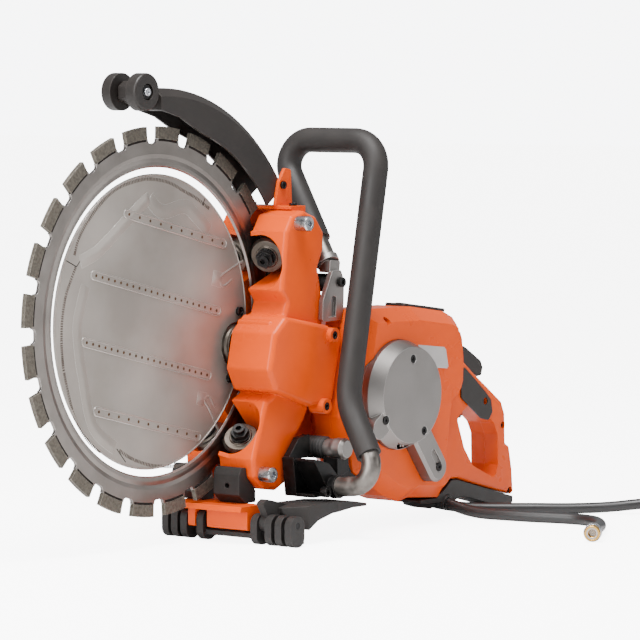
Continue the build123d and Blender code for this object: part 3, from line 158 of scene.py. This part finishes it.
def makeSurface(name, recipe):
    f = surfaceFacts
    material = bpy.data.materials.new(name)
    material.use_nodes = True
    shader = material.node_tree.nodes["Principled BSDF"]
    spot = addNode(material, "TexCoord").outputs["Object"]
    mottle = addNode(material, "TexNoise", inputs={
        "Vector": spot, "Scale": 1000 / recipe["mottleSize"], "Detail": f["mottleDetail"]})
    tone = addNode(material, "ValToRGB", inputs={"Fac": mottle.outputs["Fac"]})
    darkEnd, paleEnd = tone.color_ramp.elements
    darkEnd.position, darkEnd.color = f["mottleFrom"], linear(recipe["dark"])
    paleEnd.position, paleEnd.color = f["mottleTo"], linear(recipe["colour"])
    rounded = addNode(material, "Bevel", {"samples": f["edgeSamples"]}, {
        "Radius": recipe["edgeRadius"] / 1000})
    facing = addNode(material, "NewGeometry")
    bend = addNode(material, "VectorMath", {"operation": "DOT_PRODUCT"},
                   {0: rounded.outputs["Normal"], 1: facing.outputs["Normal"]})
    # the share of the paler edge colour: a painted highlight along edges, on bare metal partly rubbing too
    edgeHighlightAndWear = addNode(material, "MapRange", inputs={
        "Value": bend.outputs["Value"], "From Min": f["flatBend"], "From Max": f["fullBend"],
        "To Min": 0.0, "To Max": recipe["edgeShare"]})
    # sockets 0, 6 and 7 of a colour mix are its share and its two colours, and 2 is what comes out
    colour = addNode(material, "Mix", {"data_type": "RGBA"},
                     {0: edgeHighlightAndWear.outputs["Result"], 6: tone.outputs["Color"], 7: linear(recipe["edgeColour"])})
    sheen = addNode(material, "MapRange", inputs={
        "Value": mottle.outputs["Fac"], "From Min": f["mottleFrom"], "From Max": f["mottleTo"],
        "To Min": recipe["rough"][0], "To Max": recipe["rough"][1]})
    grain = addNode(material, "TexNoise", inputs={
        "Vector": spot, "Scale": 1000 / recipe["grainSize"], "Detail": f["grainDetail"]})
    relief = addNode(material, "Bump", inputs={
        "Height": grain.outputs["Fac"], "Distance": recipe["grainHeight"] / 1000,
        "Normal": rounded.outputs["Normal"]})
    join = material.node_tree.links.new
    join(colour.outputs[2], shader.inputs["Base Color"])
    join(sheen.outputs["Result"], shader.inputs["Roughness"])
    join(relief.outputs["Normal"], shader.inputs["Normal"])
    if "metallic" in recipe:
        shader.inputs["Metallic"].default_value = recipe["metallic"]
    else:
        shader.inputs["IOR"].default_value = recipe["ior"]
        shader.inputs["Specular IOR Level"].default_value = recipe.get("gloss", 0.5)
    return material


# Powder-coated magnesium: an even, glossy skin with faint orange peel, a little paler at edges, a painted
# highlight
coatedMagnesium = makeSurface("coatedMagnesium", {
    "colour": "#DA4C00", "dark": "#D04600", "mottleSize": 60.0, "rough": (0.26, 0.33),
    "edgeColour": "#F26212", "edgeShare": 0.6, "edgeRadius": 1.2, "grainSize": 2.2, "grainHeight": 0.02,
    "ior": 1.45, "gloss": 0.22})

# Nylon shells, moulded against a polished tool: the same orange with a finer grain
mouldedNylon = makeSurface("mouldedNylon", {
    "colour": "#DC4E00", "dark": "#D34800", "mottleSize": 80.0, "rough": (0.26, 0.33),
    "edgeColour": "#F26212", "edgeShare": 0.5, "edgeRadius": 1.0, "grainSize": 1.8, "grainHeight": 0.012,
    "ior": 1.46, "gloss": 0.22})

# Glass-filled nylon with a spark-eroded texture: dark warm grey, dull
filledNylon = makeSurface("filledNylon", {
    "colour": "#241F1C", "dark": "#1C1816", "mottleSize": 40.0, "rough": (0.42, 0.55),
    "edgeColour": "#4E4742", "edgeShare": 0.5, "edgeRadius": 0.9, "grainSize": 0.9, "grainHeight": 0.03,
    "ior": 1.53, "gloss": 0.35})

# Moulded rubber on grip, blocks, feet and wing: duller than the nylon, with a faint bloom
mouldedRubber = makeSurface("mouldedRubber", {
    "colour": "#24201E", "dark": "#1C1918", "mottleSize": 35.0, "rough": (0.5, 0.66),
    "edgeColour": "#4C4744", "edgeShare": 0.4, "edgeRadius": 1.0, "grainSize": 1.1, "grainHeight": 0.04,
    "ior": 1.52, "gloss": 0.35})

# Black rubber of the bellows, the glands and the belt
blackRubber = makeSurface("blackRubber", {
    "colour": "#2A2726", "dark": "#1C1A19", "mottleSize": 20.0, "rough": (0.45, 0.6), "ior": 1.52,
    "edgeColour": "#605A56", "edgeShare": 0.4, "edgeRadius": 0.7, "grainSize": 0.8, "grainHeight": 0.02})

# Neoprene sheath of cable and hose: black with a satin skin
neopreneSheath = makeSurface("neopreneSheath", {
    "colour": "#1E1D1D", "dark": "#171616", "mottleSize": 45.0, "rough": (0.36, 0.48), "ior": 1.55,
    "edgeColour": "#3A3838", "edgeShare": 0.0, "edgeRadius": 0.2, "grainSize": 1.5, "grainHeight": 0.02})

# Die-cast aluminium, shot blasted: even grey, fine sparkle, brighter at edges, partly rubbed and partly a
# painted highlight
castAluminium = makeSurface("castAluminium", {
    "colour": "#8C8885", "dark": "#85817E", "mottleSize": 30.0, "rough": (0.40, 0.50), "metallic": 1.0,
    "edgeColour": "#D6D3D1", "edgeShare": 0.8, "edgeRadius": 0.8, "grainSize": 1.0, "grainHeight": 0.03})

# Drawn aluminium tube, left bare and blasted: cloudy, with handling marks
bareTube = makeSurface("bareTube", {
    "colour": "#837E79", "dark": "#625D58", "mottleSize": 12.0, "rough": (0.32, 0.5), "metallic": 1.0,
    "edgeColour": "#E8E6E4", "edgeShare": 0.6, "edgeRadius": 0.4, "grainSize": 2.5, "grainHeight": 0.03})

# Zinc-plated steel: bright, slightly blue, sharp machined edges
zincSteel = makeSurface("zincSteel", {
    "colour": "#C9CBCF", "dark": "#B2B4B8", "mottleSize": 8.0, "rough": (0.2, 0.32), "metallic": 1.0,
    "edgeColour": "#F4F5F6", "edgeShare": 0.7, "edgeRadius": 0.4, "grainSize": 1.2, "grainHeight": 0.01})

# Black-oxide steel screws: nearly black with an oily shine; not fully metallic, for the oxide over the steel
oxideSteel = makeSurface("oxideSteel", {
    "colour": "#1B1A1A", "dark": "#100F0F", "mottleSize": 6.0, "rough": (0.28, 0.42), "metallic": 0.6,
    "edgeColour": "#56524F", "edgeShare": 0.8, "edgeRadius": 0.4, "grainSize": 1.0, "grainHeight": 0.01})

# Hardened roller steel with a brown film of oil and slurry
rollerSteel = makeSurface("rollerSteel", {
    "colour": "#6A625A", "dark": "#4A433C", "mottleSize": 14.0, "rough": (0.34, 0.5), "metallic": 1.0,
    "edgeColour": "#A29A90", "edgeShare": 0.8, "edgeRadius": 0.5, "grainSize": 1.0, "grainHeight": 0.02})

# Turned and ground steel of shafts, gears and bearings
turnedSteel = makeSurface("turnedSteel", {
    "colour": "#B5B3B0", "dark": "#9C9996", "mottleSize": 10.0, "rough": (0.22, 0.34), "metallic": 1.0,
    "edgeColour": "#DCDAD8", "edgeShare": 0.6, "edgeRadius": 0.3, "grainSize": 1.0, "grainHeight": 0.01})

# Turned brass of the hose coupling: yellow and bright
turnedBrass = makeSurface("turnedBrass", {
    "colour": "#E2B566", "dark": "#C9994A", "mottleSize": 6.0, "rough": (0.18, 0.3), "metallic": 1.0,
    "edgeColour": "#FFE3A8", "edgeShare": 0.6, "edgeRadius": 0.3, "grainSize": 1.0, "grainHeight": 0.01})

# Varnished copper of the stator windings: red-brown, in fine turns
windingCopper = makeSurface("windingCopper", {
    "colour": "#B4643A", "dark": "#8F4A28", "mottleSize": 3.0, "rough": (0.3, 0.45), "metallic": 1.0,
    "edgeColour": "#E29A6C", "edgeShare": 0.4, "edgeRadius": 0.3, "grainSize": 1.0, "grainHeight": 0.05})

# Rivets of the strips: dull dark brown, a painted shade standing in for the dark holes there
holeShadeRivet = makeSurface("holeShadeRivet", {
    "colour": "#4E3420", "dark": "#33210F", "mottleSize": 5.0, "rough": (0.55, 0.7),
    "edgeColour": "#5E4430", "edgeShare": 0.3, "edgeRadius": 0.2, "grainSize": 1.0, "grainHeight": 0.01,
    "ior": 1.5, "gloss": 0.25})

# Knurled seam near the rim of the disc: the same sheet, dulled by slurry in its grooves
slurrySeam = makeSurface("slurrySeam", {
    "colour": "#665C54", "dark": "#463E37", "mottleSize": 4.0, "rough": (0.4, 0.55), "metallic": 0.6,
    "edgeColour": "#B4ACA4", "edgeShare": 0.5, "edgeRadius": 0.2, "grainSize": 1.0, "grainHeight": 0.01})

# Scale burnt on by the laser weld: black and quite dull
weldScale = makeSurface("weldScale", {
    "colour": "#1C1714", "dark": "#120E0C", "mottleSize": 4.0, "rough": (0.75, 0.9),
    "edgeColour": "#2C2622", "edgeShare": 0.3, "edgeRadius": 0.2, "grainSize": 1.0, "grainHeight": 0.02,
    "ior": 1.5, "gloss": 0.15})

# Anodised aluminium sheet of the blank label: pale satin grey under a clear oxide; the hose's seal is alike
labelSheet = makeSurface("labelSheet", {
    "colour": "#B9B5B3", "dark": "#B0ACAA", "mottleSize": 25.0, "rough": (0.36, 0.44), "metallic": 0.5,
    "edgeColour": "#D6D3D1", "edgeShare": 0.5, "edgeRadius": 0.2, "grainSize": 0.8, "grainHeight": 0.01})


def ringSteel():
    # hardened blade steel, ground round and round: fine concentric lines that stretch every highlight
    facts = {"lineSpacing": 1.6, "lineDetail": 3.0, "lineHeight": 0.012, "stretch": 0.6}
    material = makeSurface("groundBladeSteel", {
        "colour": "#918B86", "dark": "#7C7671", "mottleSize": 45.0, "rough": (0.3, 0.38), "metallic": 1.0,
        "edgeColour": "#E6E3E0", "edgeShare": 0.7, "edgeRadius": 0.4, "grainSize": 1.2, "grainHeight": 0.01})
    shader = material.node_tree.nodes["Principled BSDF"]
    spot = addNode(material, "TexCoord").outputs["Object"]
    arm = addNode(material, "VectorMath", {"operation": "SUBTRACT"}, {0: spot, 1: ringCentre})
    flat = addNode(material, "VectorMath", {"operation": "MULTIPLY"}, {
        0: arm.outputs["Vector"], 1: (1, 0, 1)})
    reach = addNode(material, "VectorMath", {"operation": "LENGTH"}, {0: flat.outputs["Vector"]})
    lines = addNode(material, "TexNoise", {"noise_dimensions": "1D"}, {
        "W": reach.outputs["Value"], "Scale": 1000 / facts["lineSpacing"], "Detail": facts["lineDetail"]})
    plain = shader.inputs["Normal"].links[0].from_socket
    relief = addNode(material, "Bump", inputs={
        "Height": lines.outputs["Fac"], "Distance": facts["lineHeight"] / 1000, "Normal": plain})
    material.node_tree.links.new(relief.outputs["Normal"], shader.inputs["Normal"])
    around = addNode(material, "Tangent", {"direction_type": "RADIAL", "axis": "Y"})
    material.node_tree.links.new(around.outputs["Tangent"], shader.inputs["Tangent"])
    shader.inputs["Anisotropic"].default_value = facts["stretch"]
    return material


def discSteel():
    # thin stainless sheet, brushed up and down and slightly dished by pressing, so reflections swim; not
    # fully metallic, for the film of dried slurry on it
    facts = {"lineSpacing": 1.4, "lineLength": 60.0, "lineDetail": 3.0, "lineHeight": 0.012,
             "swimSize": 130.0, "swimHeight": 0.35}
    material = makeSurface("brushedStainless", {
        "colour": "#A59E97", "dark": "#8B847D", "mottleSize": 90.0, "rough": (0.33, 0.4), "metallic": 0.6,
        "edgeColour": "#EFECE8", "edgeShare": 0.8, "edgeRadius": 0.5, "grainSize": 1.0, "grainHeight": 0.008})
    shader = material.node_tree.nodes["Principled BSDF"]
    spot = addNode(material, "TexCoord").outputs["Object"]
    turned = addNode(material, "VectorRotate", {"rotation_type": "Y_AXIS"}, {
        "Vector": spot, "Center": ringCentre, "Angle": math.radians(-datum["headLean"])})
    across = 1000 / facts["lineSpacing"]
    stretched = addNode(material, "VectorMath", {"operation": "MULTIPLY"}, {
        0: turned.outputs["Vector"], 1: (across, across, 1000 / facts["lineLength"])})
    lines = addNode(material, "TexNoise", inputs={
        "Vector": stretched.outputs["Vector"], "Scale": 1.0, "Detail": facts["lineDetail"]})
    swim = addNode(material, "TexNoise", inputs={
        "Vector": spot, "Scale": 1000 / facts["swimSize"], "Detail": 0.0})
    plain = shader.inputs["Normal"].links[0].from_socket
    dished = addNode(material, "Bump", inputs={
        "Height": swim.outputs["Fac"], "Distance": facts["swimHeight"] / 1000, "Normal": plain})
    relief = addNode(material, "Bump", inputs={
        "Height": lines.outputs["Fac"], "Distance": facts["lineHeight"] / 1000,
        "Normal": dished.outputs["Normal"]})
    material.node_tree.links.new(relief.outputs["Normal"], shader.inputs["Normal"])
    return material


def segmentMatrix():
    # sintered metal with diamond grit: dull beige-grey with sparkling pits; the grit is drawn coarse, to show
    facts = {"gritSize": 1.3, "gritHeight": 0.25}
    material = makeSurface("sinteredMatrix", {
        "colour": "#706A60", "dark": "#4B463F", "mottleSize": 3.0, "rough": (0.5, 0.7), "metallic": 0.7,
        "edgeColour": "#C9C2B6", "edgeShare": 0.6, "edgeRadius": 0.5, "grainSize": 0.8, "grainHeight": 0.05})
    shader = material.node_tree.nodes["Principled BSDF"]
    spot = addNode(material, "TexCoord").outputs["Object"]
    grit = addNode(material, "TexVoronoi", inputs={"Vector": spot, "Scale": 1000 / facts["gritSize"]})
    plain = shader.inputs["Normal"].links[0].from_socket
    relief = addNode(material, "Bump", inputs={
        "Height": grit.outputs["Distance"], "Distance": facts["gritHeight"] / 1000, "Normal": plain})
    material.node_tree.links.new(relief.outputs["Normal"], shader.inputs["Normal"])
    return material


bladeSteel = ringSteel()
stainlessSheet = discSteel()
diamondMatrix = segmentMatrix()

finishes = {
    coatedMagnesium: ["roller_cover", "chassis", "guard_bracket"],
    mouldedNylon: ["housing_left", "housing_right"],
    bladeSteel: ["ring_blade_core"],
    stainlessSheet: ["centre_disc"],
    diamondMatrix: ["blade_segments"],
    filledNylon: ["blade_guard", "base_pad", "handle_pads", "trigger", "trigger_lock", "trigger_switch",
                  "top_panel", "nose_rollers", "cooling_fan", "power_button", "more_water_button",
                  "less_water_button", "cable_connector"],
    mouldedRubber: ["front_handle_grip", "bumper_blocks", "feet", "splash_wing"],
    blackRubber: ["spring_boots", "drive_belt", "cord_glands"],
    neopreneSheath: ["power_cable", "water_hose"],
    castAluminium: ["gear_cover", "gear_case", "upper_handle_arm", "spring_cup", "motor_controller"],
    bareTube: ["front_handle"],
    zincSteel: ["upper_adjuster", "lower_adjuster"],
    oxideSteel: ["cap_screws", "upper_roller_bolt", "lower_roller_bolt", "far_roller_bolts",
                 "lower_handle_bracket", "hinge_pins", "nose_axle"],
    rollerSteel: ["near_upper_roller", "near_lower_roller", "far_upper_roller", "far_lower_roller",
                  "upper_roller_arm", "lower_roller_arm", "drive_wheel"],
    turnedSteel: ["drive_shaft", "lay_shaft", "drive_gear", "motor_pinion", "ball_bearings", "motor_rotor"],
    windingCopper: ["motor_stator"],
    turnedBrass: ["hose_coupling"],
}
for finish, names in finishes.items():
    for name in names:
        nodes[name].data.materials.clear()
        nodes[name].data.materials.append(finish)
bare = sorted(set(nodes) - {name for names in finishes.values() for name in names})
print("surfaces made; parts without one:", bare)


def addPiece(name, mesh, finish, body="root", place=None, smoothBelow=40.0):
    piece = bpy.data.objects.new(name, mesh)
    if place is not None:
        piece.matrix_world = place
    bpy.context.scene.collection.objects.link(piece)
    mesh.materials.append(finish)
    mesh.shade_smooth()
    mesh.set_sharp_from_angle(angle=math.radians(smoothBelow))
    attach(piece, body)
    return piece


def closeMesh(name, mesh):
    made = bpy.data.meshes.new(name)
    mesh.to_mesh(made)
    mesh.free()
    return made


def alongLine(start, towards):
    # a place whose own Z runs from start in the given direction
    turn = Vector(towards).normalized().to_track_quat("Z", "Y").to_matrix().to_4x4()
    return Matrix.Translation(Vector(start)) @ turn


def turnedMesh(name, profile, steps=48):
    # radius and height points in millimetres, turned about Z; a point of no radius lies on the axis
    mesh = bmesh.new()
    rings = []
    for radius, height in profile:
        if radius == 0:
            rings.append([mesh.verts.new((0, 0, height / 1000))])
            continue
        angles = [2 * math.pi * i / steps for i in range(steps)]
        rings.append([mesh.verts.new((radius / 1000 * math.cos(angle), radius / 1000 * math.sin(angle),
                                      height / 1000)) for angle in angles])
    for low, high in zip(rings, rings[1:]):
        for i in range(steps):
            corners = [low[i % len(low)], low[(i + 1) % steps % len(low)],
                       high[(i + 1) % steps % len(high)], high[i % len(high)]]
            corners = list(dict.fromkeys(corners))
            if len(corners) > 2:
                mesh.faces.new(corners)
    bmesh.ops.recalc_face_normals(mesh, faces=mesh.faces)
    return closeMesh(name, mesh)


# Cords: the routes of the part's source, in datum millimetres; lengths in metres
cordFacts = {
    "cable": {
        "radius": 6.25, "length": 0.317, "node": "power_cable", "farEnd": "connector",
        "route": [(426, -60, -230.5), (446, -68, -236.5), (474, -96, -239.65), (506, -140, -239.25),
                  (538, -182, -239.65), (564, -216, -238.15), (586, -247, -233.6), (604, -277, -231.8),
                  (619, -305, -231.8)]},
    "hose": {
        "radius": 6.6, "length": 0.314, "node": "water_hose", "farEnd": "fitting",
        "route": [(425, -84, -229.5), (427, -102, -235.5), (429, -128, -239.3), (432, -160, -239.0),
                  (438, -194, -239.3), (446, -226, -239.0), (452, -253, -239.3), (444, -279, -239.1),
                  (423, -300, -239.3), (395, -316, -238.5), (370, -328.5, -235.8), (348, -341, -235.8)]},
    "skin": {"roundSteps": 8, "lengthSteps": 12, "order": 3},
}


def layCord(name, facts):
    skin = cordFacts["skin"]
    line = bpy.data.curves.new(name, "CURVE")
    line.dimensions = "3D"
    line.bevel_depth = facts["radius"] / 1000
    line.bevel_resolution = skin["roundSteps"]
    line.use_fill_caps = True
    spline = line.splines.new("NURBS")
    spline.points.add(len(facts["route"]) - 1)
    for point, stop in zip(spline.points, facts["route"]):
        point.co = (*fromDatum(*stop), 1.0)
    spline.order_u = skin["order"]
    spline.use_endpoint_u = True
    spline.resolution_u = skin["lengthSteps"]
    cordPiece = bpy.data.objects.new(name, line)
    bpy.context.scene.collection.objects.link(cordPiece)
    line.materials.append(neopreneSheath)
    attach(cordPiece, "root")
    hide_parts(facts["node"])
    return cordPiece


cable = layCord("powerCableSheath", cordFacts["cable"])
hose = layCord("waterHoseSkin", cordFacts["hose"])

# The coupling on the hose: a plated sleeve crimped on, a brass nose with a bore for the supply's spigot, and
# the seal in its end. Radius and height points in millimetres.
couplingFacts = {
    "sleeve": [(0, 0.1), (8, 0.1), (8.4, 0.6), (8.4, 3), (7.9, 3.6), (7.9, 5), (8.4, 5.6), (8.4, 8),
               (9.6, 8.8), (10, 9.4), (10, 20.2), (9.5, 20.9), (0, 20.9)],
    "nose": [(0, 20.9), (9.0, 20.9), (9.0, 24.5), (8.5, 25.2), (8.5, 26.6), (8.1, 27), (6.4, 27),
             (6.1, 26.2), (4.6, 26.2), (4.0, 25.6), (4.0, 15), (0, 15)],
    "seal": [(6.3, 26.25), (6.3, 26.8), (4.7, 26.8), (4.7, 26.25), (6.3, 26.25)],
}
hoseEnd = fromDatum(*cordFacts["hose"]["route"][-1])
hoseHeading = hoseEnd - fromDatum(*cordFacts["hose"]["route"][-2])
couplingPlace = alongLine(hoseEnd, hoseHeading)
sleeve = addPiece("couplingSleeve", turnedMesh("couplingSleeve", couplingFacts["sleeve"]), zincSteel,
                  place=couplingPlace)
nose = addPiece("couplingNose", turnedMesh("couplingNose", couplingFacts["nose"]), turnedBrass,
                place=couplingPlace)
seal = addPiece("couplingSeal", turnedMesh("couplingSeal", couplingFacts["seal"]), labelSheet,
                place=couplingPlace)
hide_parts("hose_coupling")

print("cords laid")

# Blank label plate on the near shell, in datum millimetres: its upper and lower edges fall to the rear, and
# its back is sunk into the shell
labelFacts = {"left": 337.0, "right": 397.5, "bottom": -70.5, "top": -39.5, "fall": 6.0, "topShorter": 6.0,
              "face": -105.0, "thickness": 0.5, "sunk": 0.3, "corner": 2.0, "cornerSteps": 4}


def labelPlate():
    f = labelFacts
    outline = [(f["left"], f["top"]), (f["right"] - f["topShorter"], f["top"] - f["fall"]),
               (f["right"], f["bottom"]), (f["left"], f["bottom"] + f["fall"])]
    mesh = bmesh.new()
    back = mesh.faces.new([mesh.verts.new(fromDatum(x, f["face"] + f["sunk"], z)) for x, z in outline])
    grown = bmesh.ops.extrude_face_region(mesh, geom=[back])
    out = Vector((0, -(f["thickness"] + f["sunk"]) / 1000, 0))
    bmesh.ops.translate(mesh, vec=out, verts=[v for v in grown["geom"] if isinstance(v, bmesh.types.BMVert)])
    # the corners are the edges that run through the sheet, along Y
    corners = [e for e in mesh.edges if abs((e.verts[0].co - e.verts[1].co).normalized().y) > 0.9]
    bmesh.ops.bevel(mesh, geom=corners, offset=f["corner"] / 1000, segments=f["cornerSteps"], affect="EDGES")
    bmesh.ops.recalc_face_normals(mesh, faces=mesh.faces)
    addPiece("labelPlate", closeMesh("labelPlate", mesh), labelSheet)


labelPlate()
print("label plate made")

# Rivets in the four strips of the centre disc; rows in the head's millimetres: height, left, right, count
stripFacts = {
    "rows": [(106, -74, 105, 10), (31.5, -112, 112, 21), (-41, -111, 112, 21), (-110, -75, 109, 11)],
    "endMargin": 8.4, "rivetRadius": 1.75, "rivetHeight": 0.6, "rivetSides": (12, 6), "seat": 1.6}


def stripRivets():
    f = stripFacts
    around, upward = f["rivetSides"]
    flatten = Matrix.Diagonal((1, f["rivetHeight"] / f["rivetRadius"], 1, 1))
    mesh = bmesh.new()
    for height, left, right, count in f["rows"]:
        step = (right - left - 2 * f["endMargin"]) / (count - 1)
        for i in range(count):
            place = Matrix.Translation(fromHead(left + f["endMargin"] + step * i, f["seat"], height))
            dome = bmesh.ops.create_uvsphere(mesh, u_segments=around, v_segments=upward,
                                             radius=f["rivetRadius"] / 1000)
            bmesh.ops.transform(mesh, matrix=place @ flatten, verts=dome["verts"])
    addPiece("stripRivets", closeMesh("stripRivets", mesh), holeShadeRivet)


stripRivets()

# Rolled bead round the edge of the disc, in the head's millimetres
beadFacts = {"radius": 159.6, "thickness": 0.9, "flatness": 0.8, "face": 2.2, "steps": 192, "sides": 8}


def discBead():
    f = beadFacts
    steps, sides = f["steps"], f["sides"]
    mesh = bmesh.new()
    rings = []
    for i in range(steps):
        a = 2 * math.pi * i / steps
        ring = []
        for j in range(sides):
            b = 2 * math.pi * j / sides
            reach = f["radius"] + f["thickness"] * math.cos(b)
            depth = f["face"] + f["thickness"] * f["flatness"] * math.sin(b)
            ring.append(mesh.verts.new(fromHead(reach * math.cos(a), depth, reach * math.sin(a))))
        rings.append(ring)
    for i in range(steps):
        ring, after = rings[i], rings[(i + 1) % steps]
        for j in range(sides):
            k = (j + 1) % sides
            mesh.faces.new((ring[j], after[j], after[k], ring[k]))
    bmesh.ops.recalc_face_normals(mesh, faces=mesh.faces)
    bead = addPiece("discBead", closeMesh("discBead", mesh), stainlessSheet, smoothBelow=80.0)


discBead()

# Lines pressed and knurled into the centre disc, as points in the head's millimetres across and up. A line's
# fade is the number of its points over which each end rises.
pressFacts = {
    "face": 2.4, "step": 2.0, "endStub": 0.2, "sides": 6, "lift": 0.02, "root": 0.3, "smoothBelow": 60.0,
    "strip": {"face": 1.5, "width": 10.5, "inset": 1.0, "endSteps": 10},
    "outline": {"width": 1.7, "height": 0.5},
    "foldFade": 7,
    "folds": [
        {"width": 15.0, "height": 1.2,
         "line": [(-36, 130), (-48, 119), (-74, 91), (-100, 63), (-113, 52), (-131, 41)]},
        {"width": 16.0, "height": 0.5,
         "line": [(-36, 130), (-22, 122), (-6, 121), (24, 133), (45, 127), (72, 115)]},
        {"width": 15.0, "height": 0.6,
         "line": [(-117, 18), (-121, -21), (-114, -47), (-102, -74), (-72, -126), (-31, -144)]},
        {"width": 3.0, "height": 0.6, "line": [(138, 94), (107, 73), (102, 66), (110, 60), (124, 70)]},
        {"width": 3.0, "height": 0.6, "line": [(146, -105), (117, -77), (106, -69), (114, -64), (126, -73)]},
    ],
    "dimples": [(98, 66, 8.5, 0.9), (101, -68, 7.5, 0.8)],  # across, up, radius, height
    "dimpleSteps": 12,
    "dimpleFade": 6,
    "knurl": {"pitch": 2.6, "length": 3.8, "width": 1.7, "height": 0.6, "fade": 2},
    "knurlLines": [
        [(67, 139), (41, 146), (21, 149), (-9, 153), (-41, 150), (-67, 141), (-92, 128), (-111, 110),
         (-128, 87), (-139, 65), (-142, 47)],
        [(-137, 35), (-142, 18), (-146, 1), (-146, -23), (-142, -46), (-137, -62), (-130, -79), (-109, -114),
         (-93, -131), (-74, -144), (-54, -151)],
        [(-24, -145), (-9, -149), (5, -151.5), (30, -153), (53, -151), (81, -146), (107, -136)],
    ],
    # the slots are drawn as thin black strips on the face: painted shade of the gaps
    "cuts": [[(-155, 38.5), (-136, 35)], [(57, 150), (54.5, 140)], [(-28, -144), (-10, -156)],
             [(-136, 35), (-131, 43)]],
    "cut": {"width": 1.2, "height": 0.06},
}


def smoothLine(points, step):
    # Catmull-Rom through the points, sampled about every step
    made = []
    for i in range(len(points) - 1):
        a, b, c, d = (Vector(points[min(max(i + k, 0), len(points) - 1)]) for k in (-1, 0, 1, 2))
        parts = max(2, math.ceil((c - b).length / step))
        for j in range(parts):
            t = j / parts
            made.append(0.5 * (2 * b + (c - a) * t + (2 * a - 5 * b + 4 * c - d) * t * t
                               + (3 * b - a - 3 * c + d) * t ** 3))
    return made + [Vector(points[-1])]


def layRidge(mesh, line, width, height, face, closed=False, fade=4):
    # a low rounded ridge along a line, on a face that looks towards the near side, with its root in the sheet
    f = pressFacts
    last = len(line) - 1
    rows = []
    for i, spot in enumerate(line):
        after = line[(i + 1) % len(line)] if closed else line[min(i + 1, last)]
        before = line[i - 1] if closed or i else line[0]
        way = (after - before).normalized()
        share = 1.0 if closed else math.sin(math.pi / 2 * min(1.0, (min(i, last - i) + f["endStub"]) / fade))
        row = []
        for k in range(f["sides"] + 1):
            offset = width * (k / f["sides"] - 0.5)
            rise = height * share * 0.5 * (1 + math.cos(2 * math.pi * offset / width))
            row.append((spot.x - way.y * offset, face - f["lift"] - rise, spot.y + way.x * offset))
        row += [(row[-1][0], face + f["root"], row[-1][2]), (row[0][0], face + f["root"], row[0][2])]
        rows.append([mesh.verts.new(fromHead(*point)) for point in row])
    pairs = list(zip(rows, rows[1:])) + ([(rows[-1], rows[0])] if closed else [])
    for low, high in pairs:
        for k in range(len(low)):
            after = (k + 1) % len(low)
            mesh.faces.new((low[k], low[after], high[after], high[k]))
    if not closed:
        mesh.faces.new(rows[0])
        mesh.faces.new(list(reversed(rows[-1])))


def stripOutline(left, right, height):
    # outline of a strip with round ends
    f = pressFacts["strip"]
    half = f["width"] / 2
    reach = half - f["inset"]
    points = []
    for middle, start in ((right - half, -90), (left + half, 90)):
        for i in range(f["endSteps"] + 1):
            angle = math.radians(start + 180 * i / f["endSteps"])
            points.append(Vector((middle + reach * math.cos(angle), height + reach * math.sin(angle))))
    return points


def finishRidges(name, mesh, finish, body="root"):
    bmesh.ops.recalc_face_normals(mesh, faces=mesh.faces)
    ridges = addPiece(name, closeMesh(name, mesh), finish, body=body, smoothBelow=pressFacts["smoothBelow"])


def pressedLines():
    f = pressFacts
    outlines = bmesh.new()
    for height, left, right, _ in stripFacts["rows"]:
        layRidge(outlines, stripOutline(left, right, height), face=f["strip"]["face"], closed=True,
                 **f["outline"])
    finishRidges("stripOutlines", outlines, stainlessSheet)
    folds = bmesh.new()
    for fold in f["folds"]:
        layRidge(folds, smoothLine(fold["line"], f["step"]), fold["width"], fold["height"], f["face"],
                 fade=f["foldFade"])
    for across, up, radius, height in f["dimples"]:
        steps = f["dimpleSteps"]
        row = [Vector((across - radius + 2 * radius * i / steps, up)) for i in range(steps + 1)]
        layRidge(folds, row, 2 * radius, height, f["face"], fade=f["dimpleFade"])
    finishRidges("pressedFolds", folds, stainlessSheet)
    knurls = bmesh.new()
    knurl = f["knurl"]
    for line in f["knurlLines"]:
        spots = smoothLine(line, knurl["pitch"])
        for before, spot in zip(spots, spots[1:]):
            way = (spot - before).normalized() * knurl["length"] / 2
            side = Vector((-way.y, way.x))
            layRidge(knurls, [spot + side * t for t in (-1, -0.5, 0, 0.5, 1)], knurl["width"],
                     knurl["height"], f["face"], fade=knurl["fade"])
    finishRidges("rimKnurl", knurls, slurrySeam)
    # thin black strips in the oxide finish, a painted shade where the slots are
    cuts = bmesh.new()
    for line in f["cuts"]:
        layRidge(cuts, smoothLine(line, f["step"]), face=f["face"], **f["cut"])
    finishRidges("rimSlotShade", cuts, oxideSteel)


pressedLines()
print("disc dressed")

# Dark burnt line of the laser weld under each segment, on the near face of the ring; lengths in millimetres,
# and angles in degrees from the top of the ring
weldFacts = {"count": 24, "phase": 6.2, "sweep": 9.0, "steps": 10, "radius": 198.4, "width": 3.8,
             "height": 0.9, "face": -1.8, "fade": 2}


def weldLines():
    f = weldFacts
    welds = bmesh.new()
    for k in range(f["count"]):
        middle = f["phase"] - datum["headLean"] + 360 / f["count"] * k
        angles = [math.radians(middle + f["sweep"] * (t / f["steps"] - 0.5)) for t in range(f["steps"] + 1)]
        layRidge(welds, [Vector((f["radius"] * math.sin(a), f["radius"] * math.cos(a))) for a in angles],
                 f["width"], f["height"], f["face"], fade=f["fade"])
    finishRidges("weldLines", welds, weldScale, body="ring")


weldLines()
print("welds laid")

# Zinc screw in the near end of the nose rollers' axle: its place in datum millimetres, and its radius and
# height points
noseScrewFacts = {
    "place": (-38.0, -22.5, 250.0),
    "profile": [(0, -0.5), (4.6, -0.5), (4.6, 1.9), (4.1, 2.5), (2.6, 2.5), (2.3, 2.2), (2.3, 0.8), (0, 0.6)]}
noseScrew = addPiece("noseScrew", turnedMesh("noseScrew", noseScrewFacts["profile"]), zincSteel,
                     place=alongLine(fromDatum(*noseScrewFacts["place"]), (0, -1, 0)))
print("nose screw set")
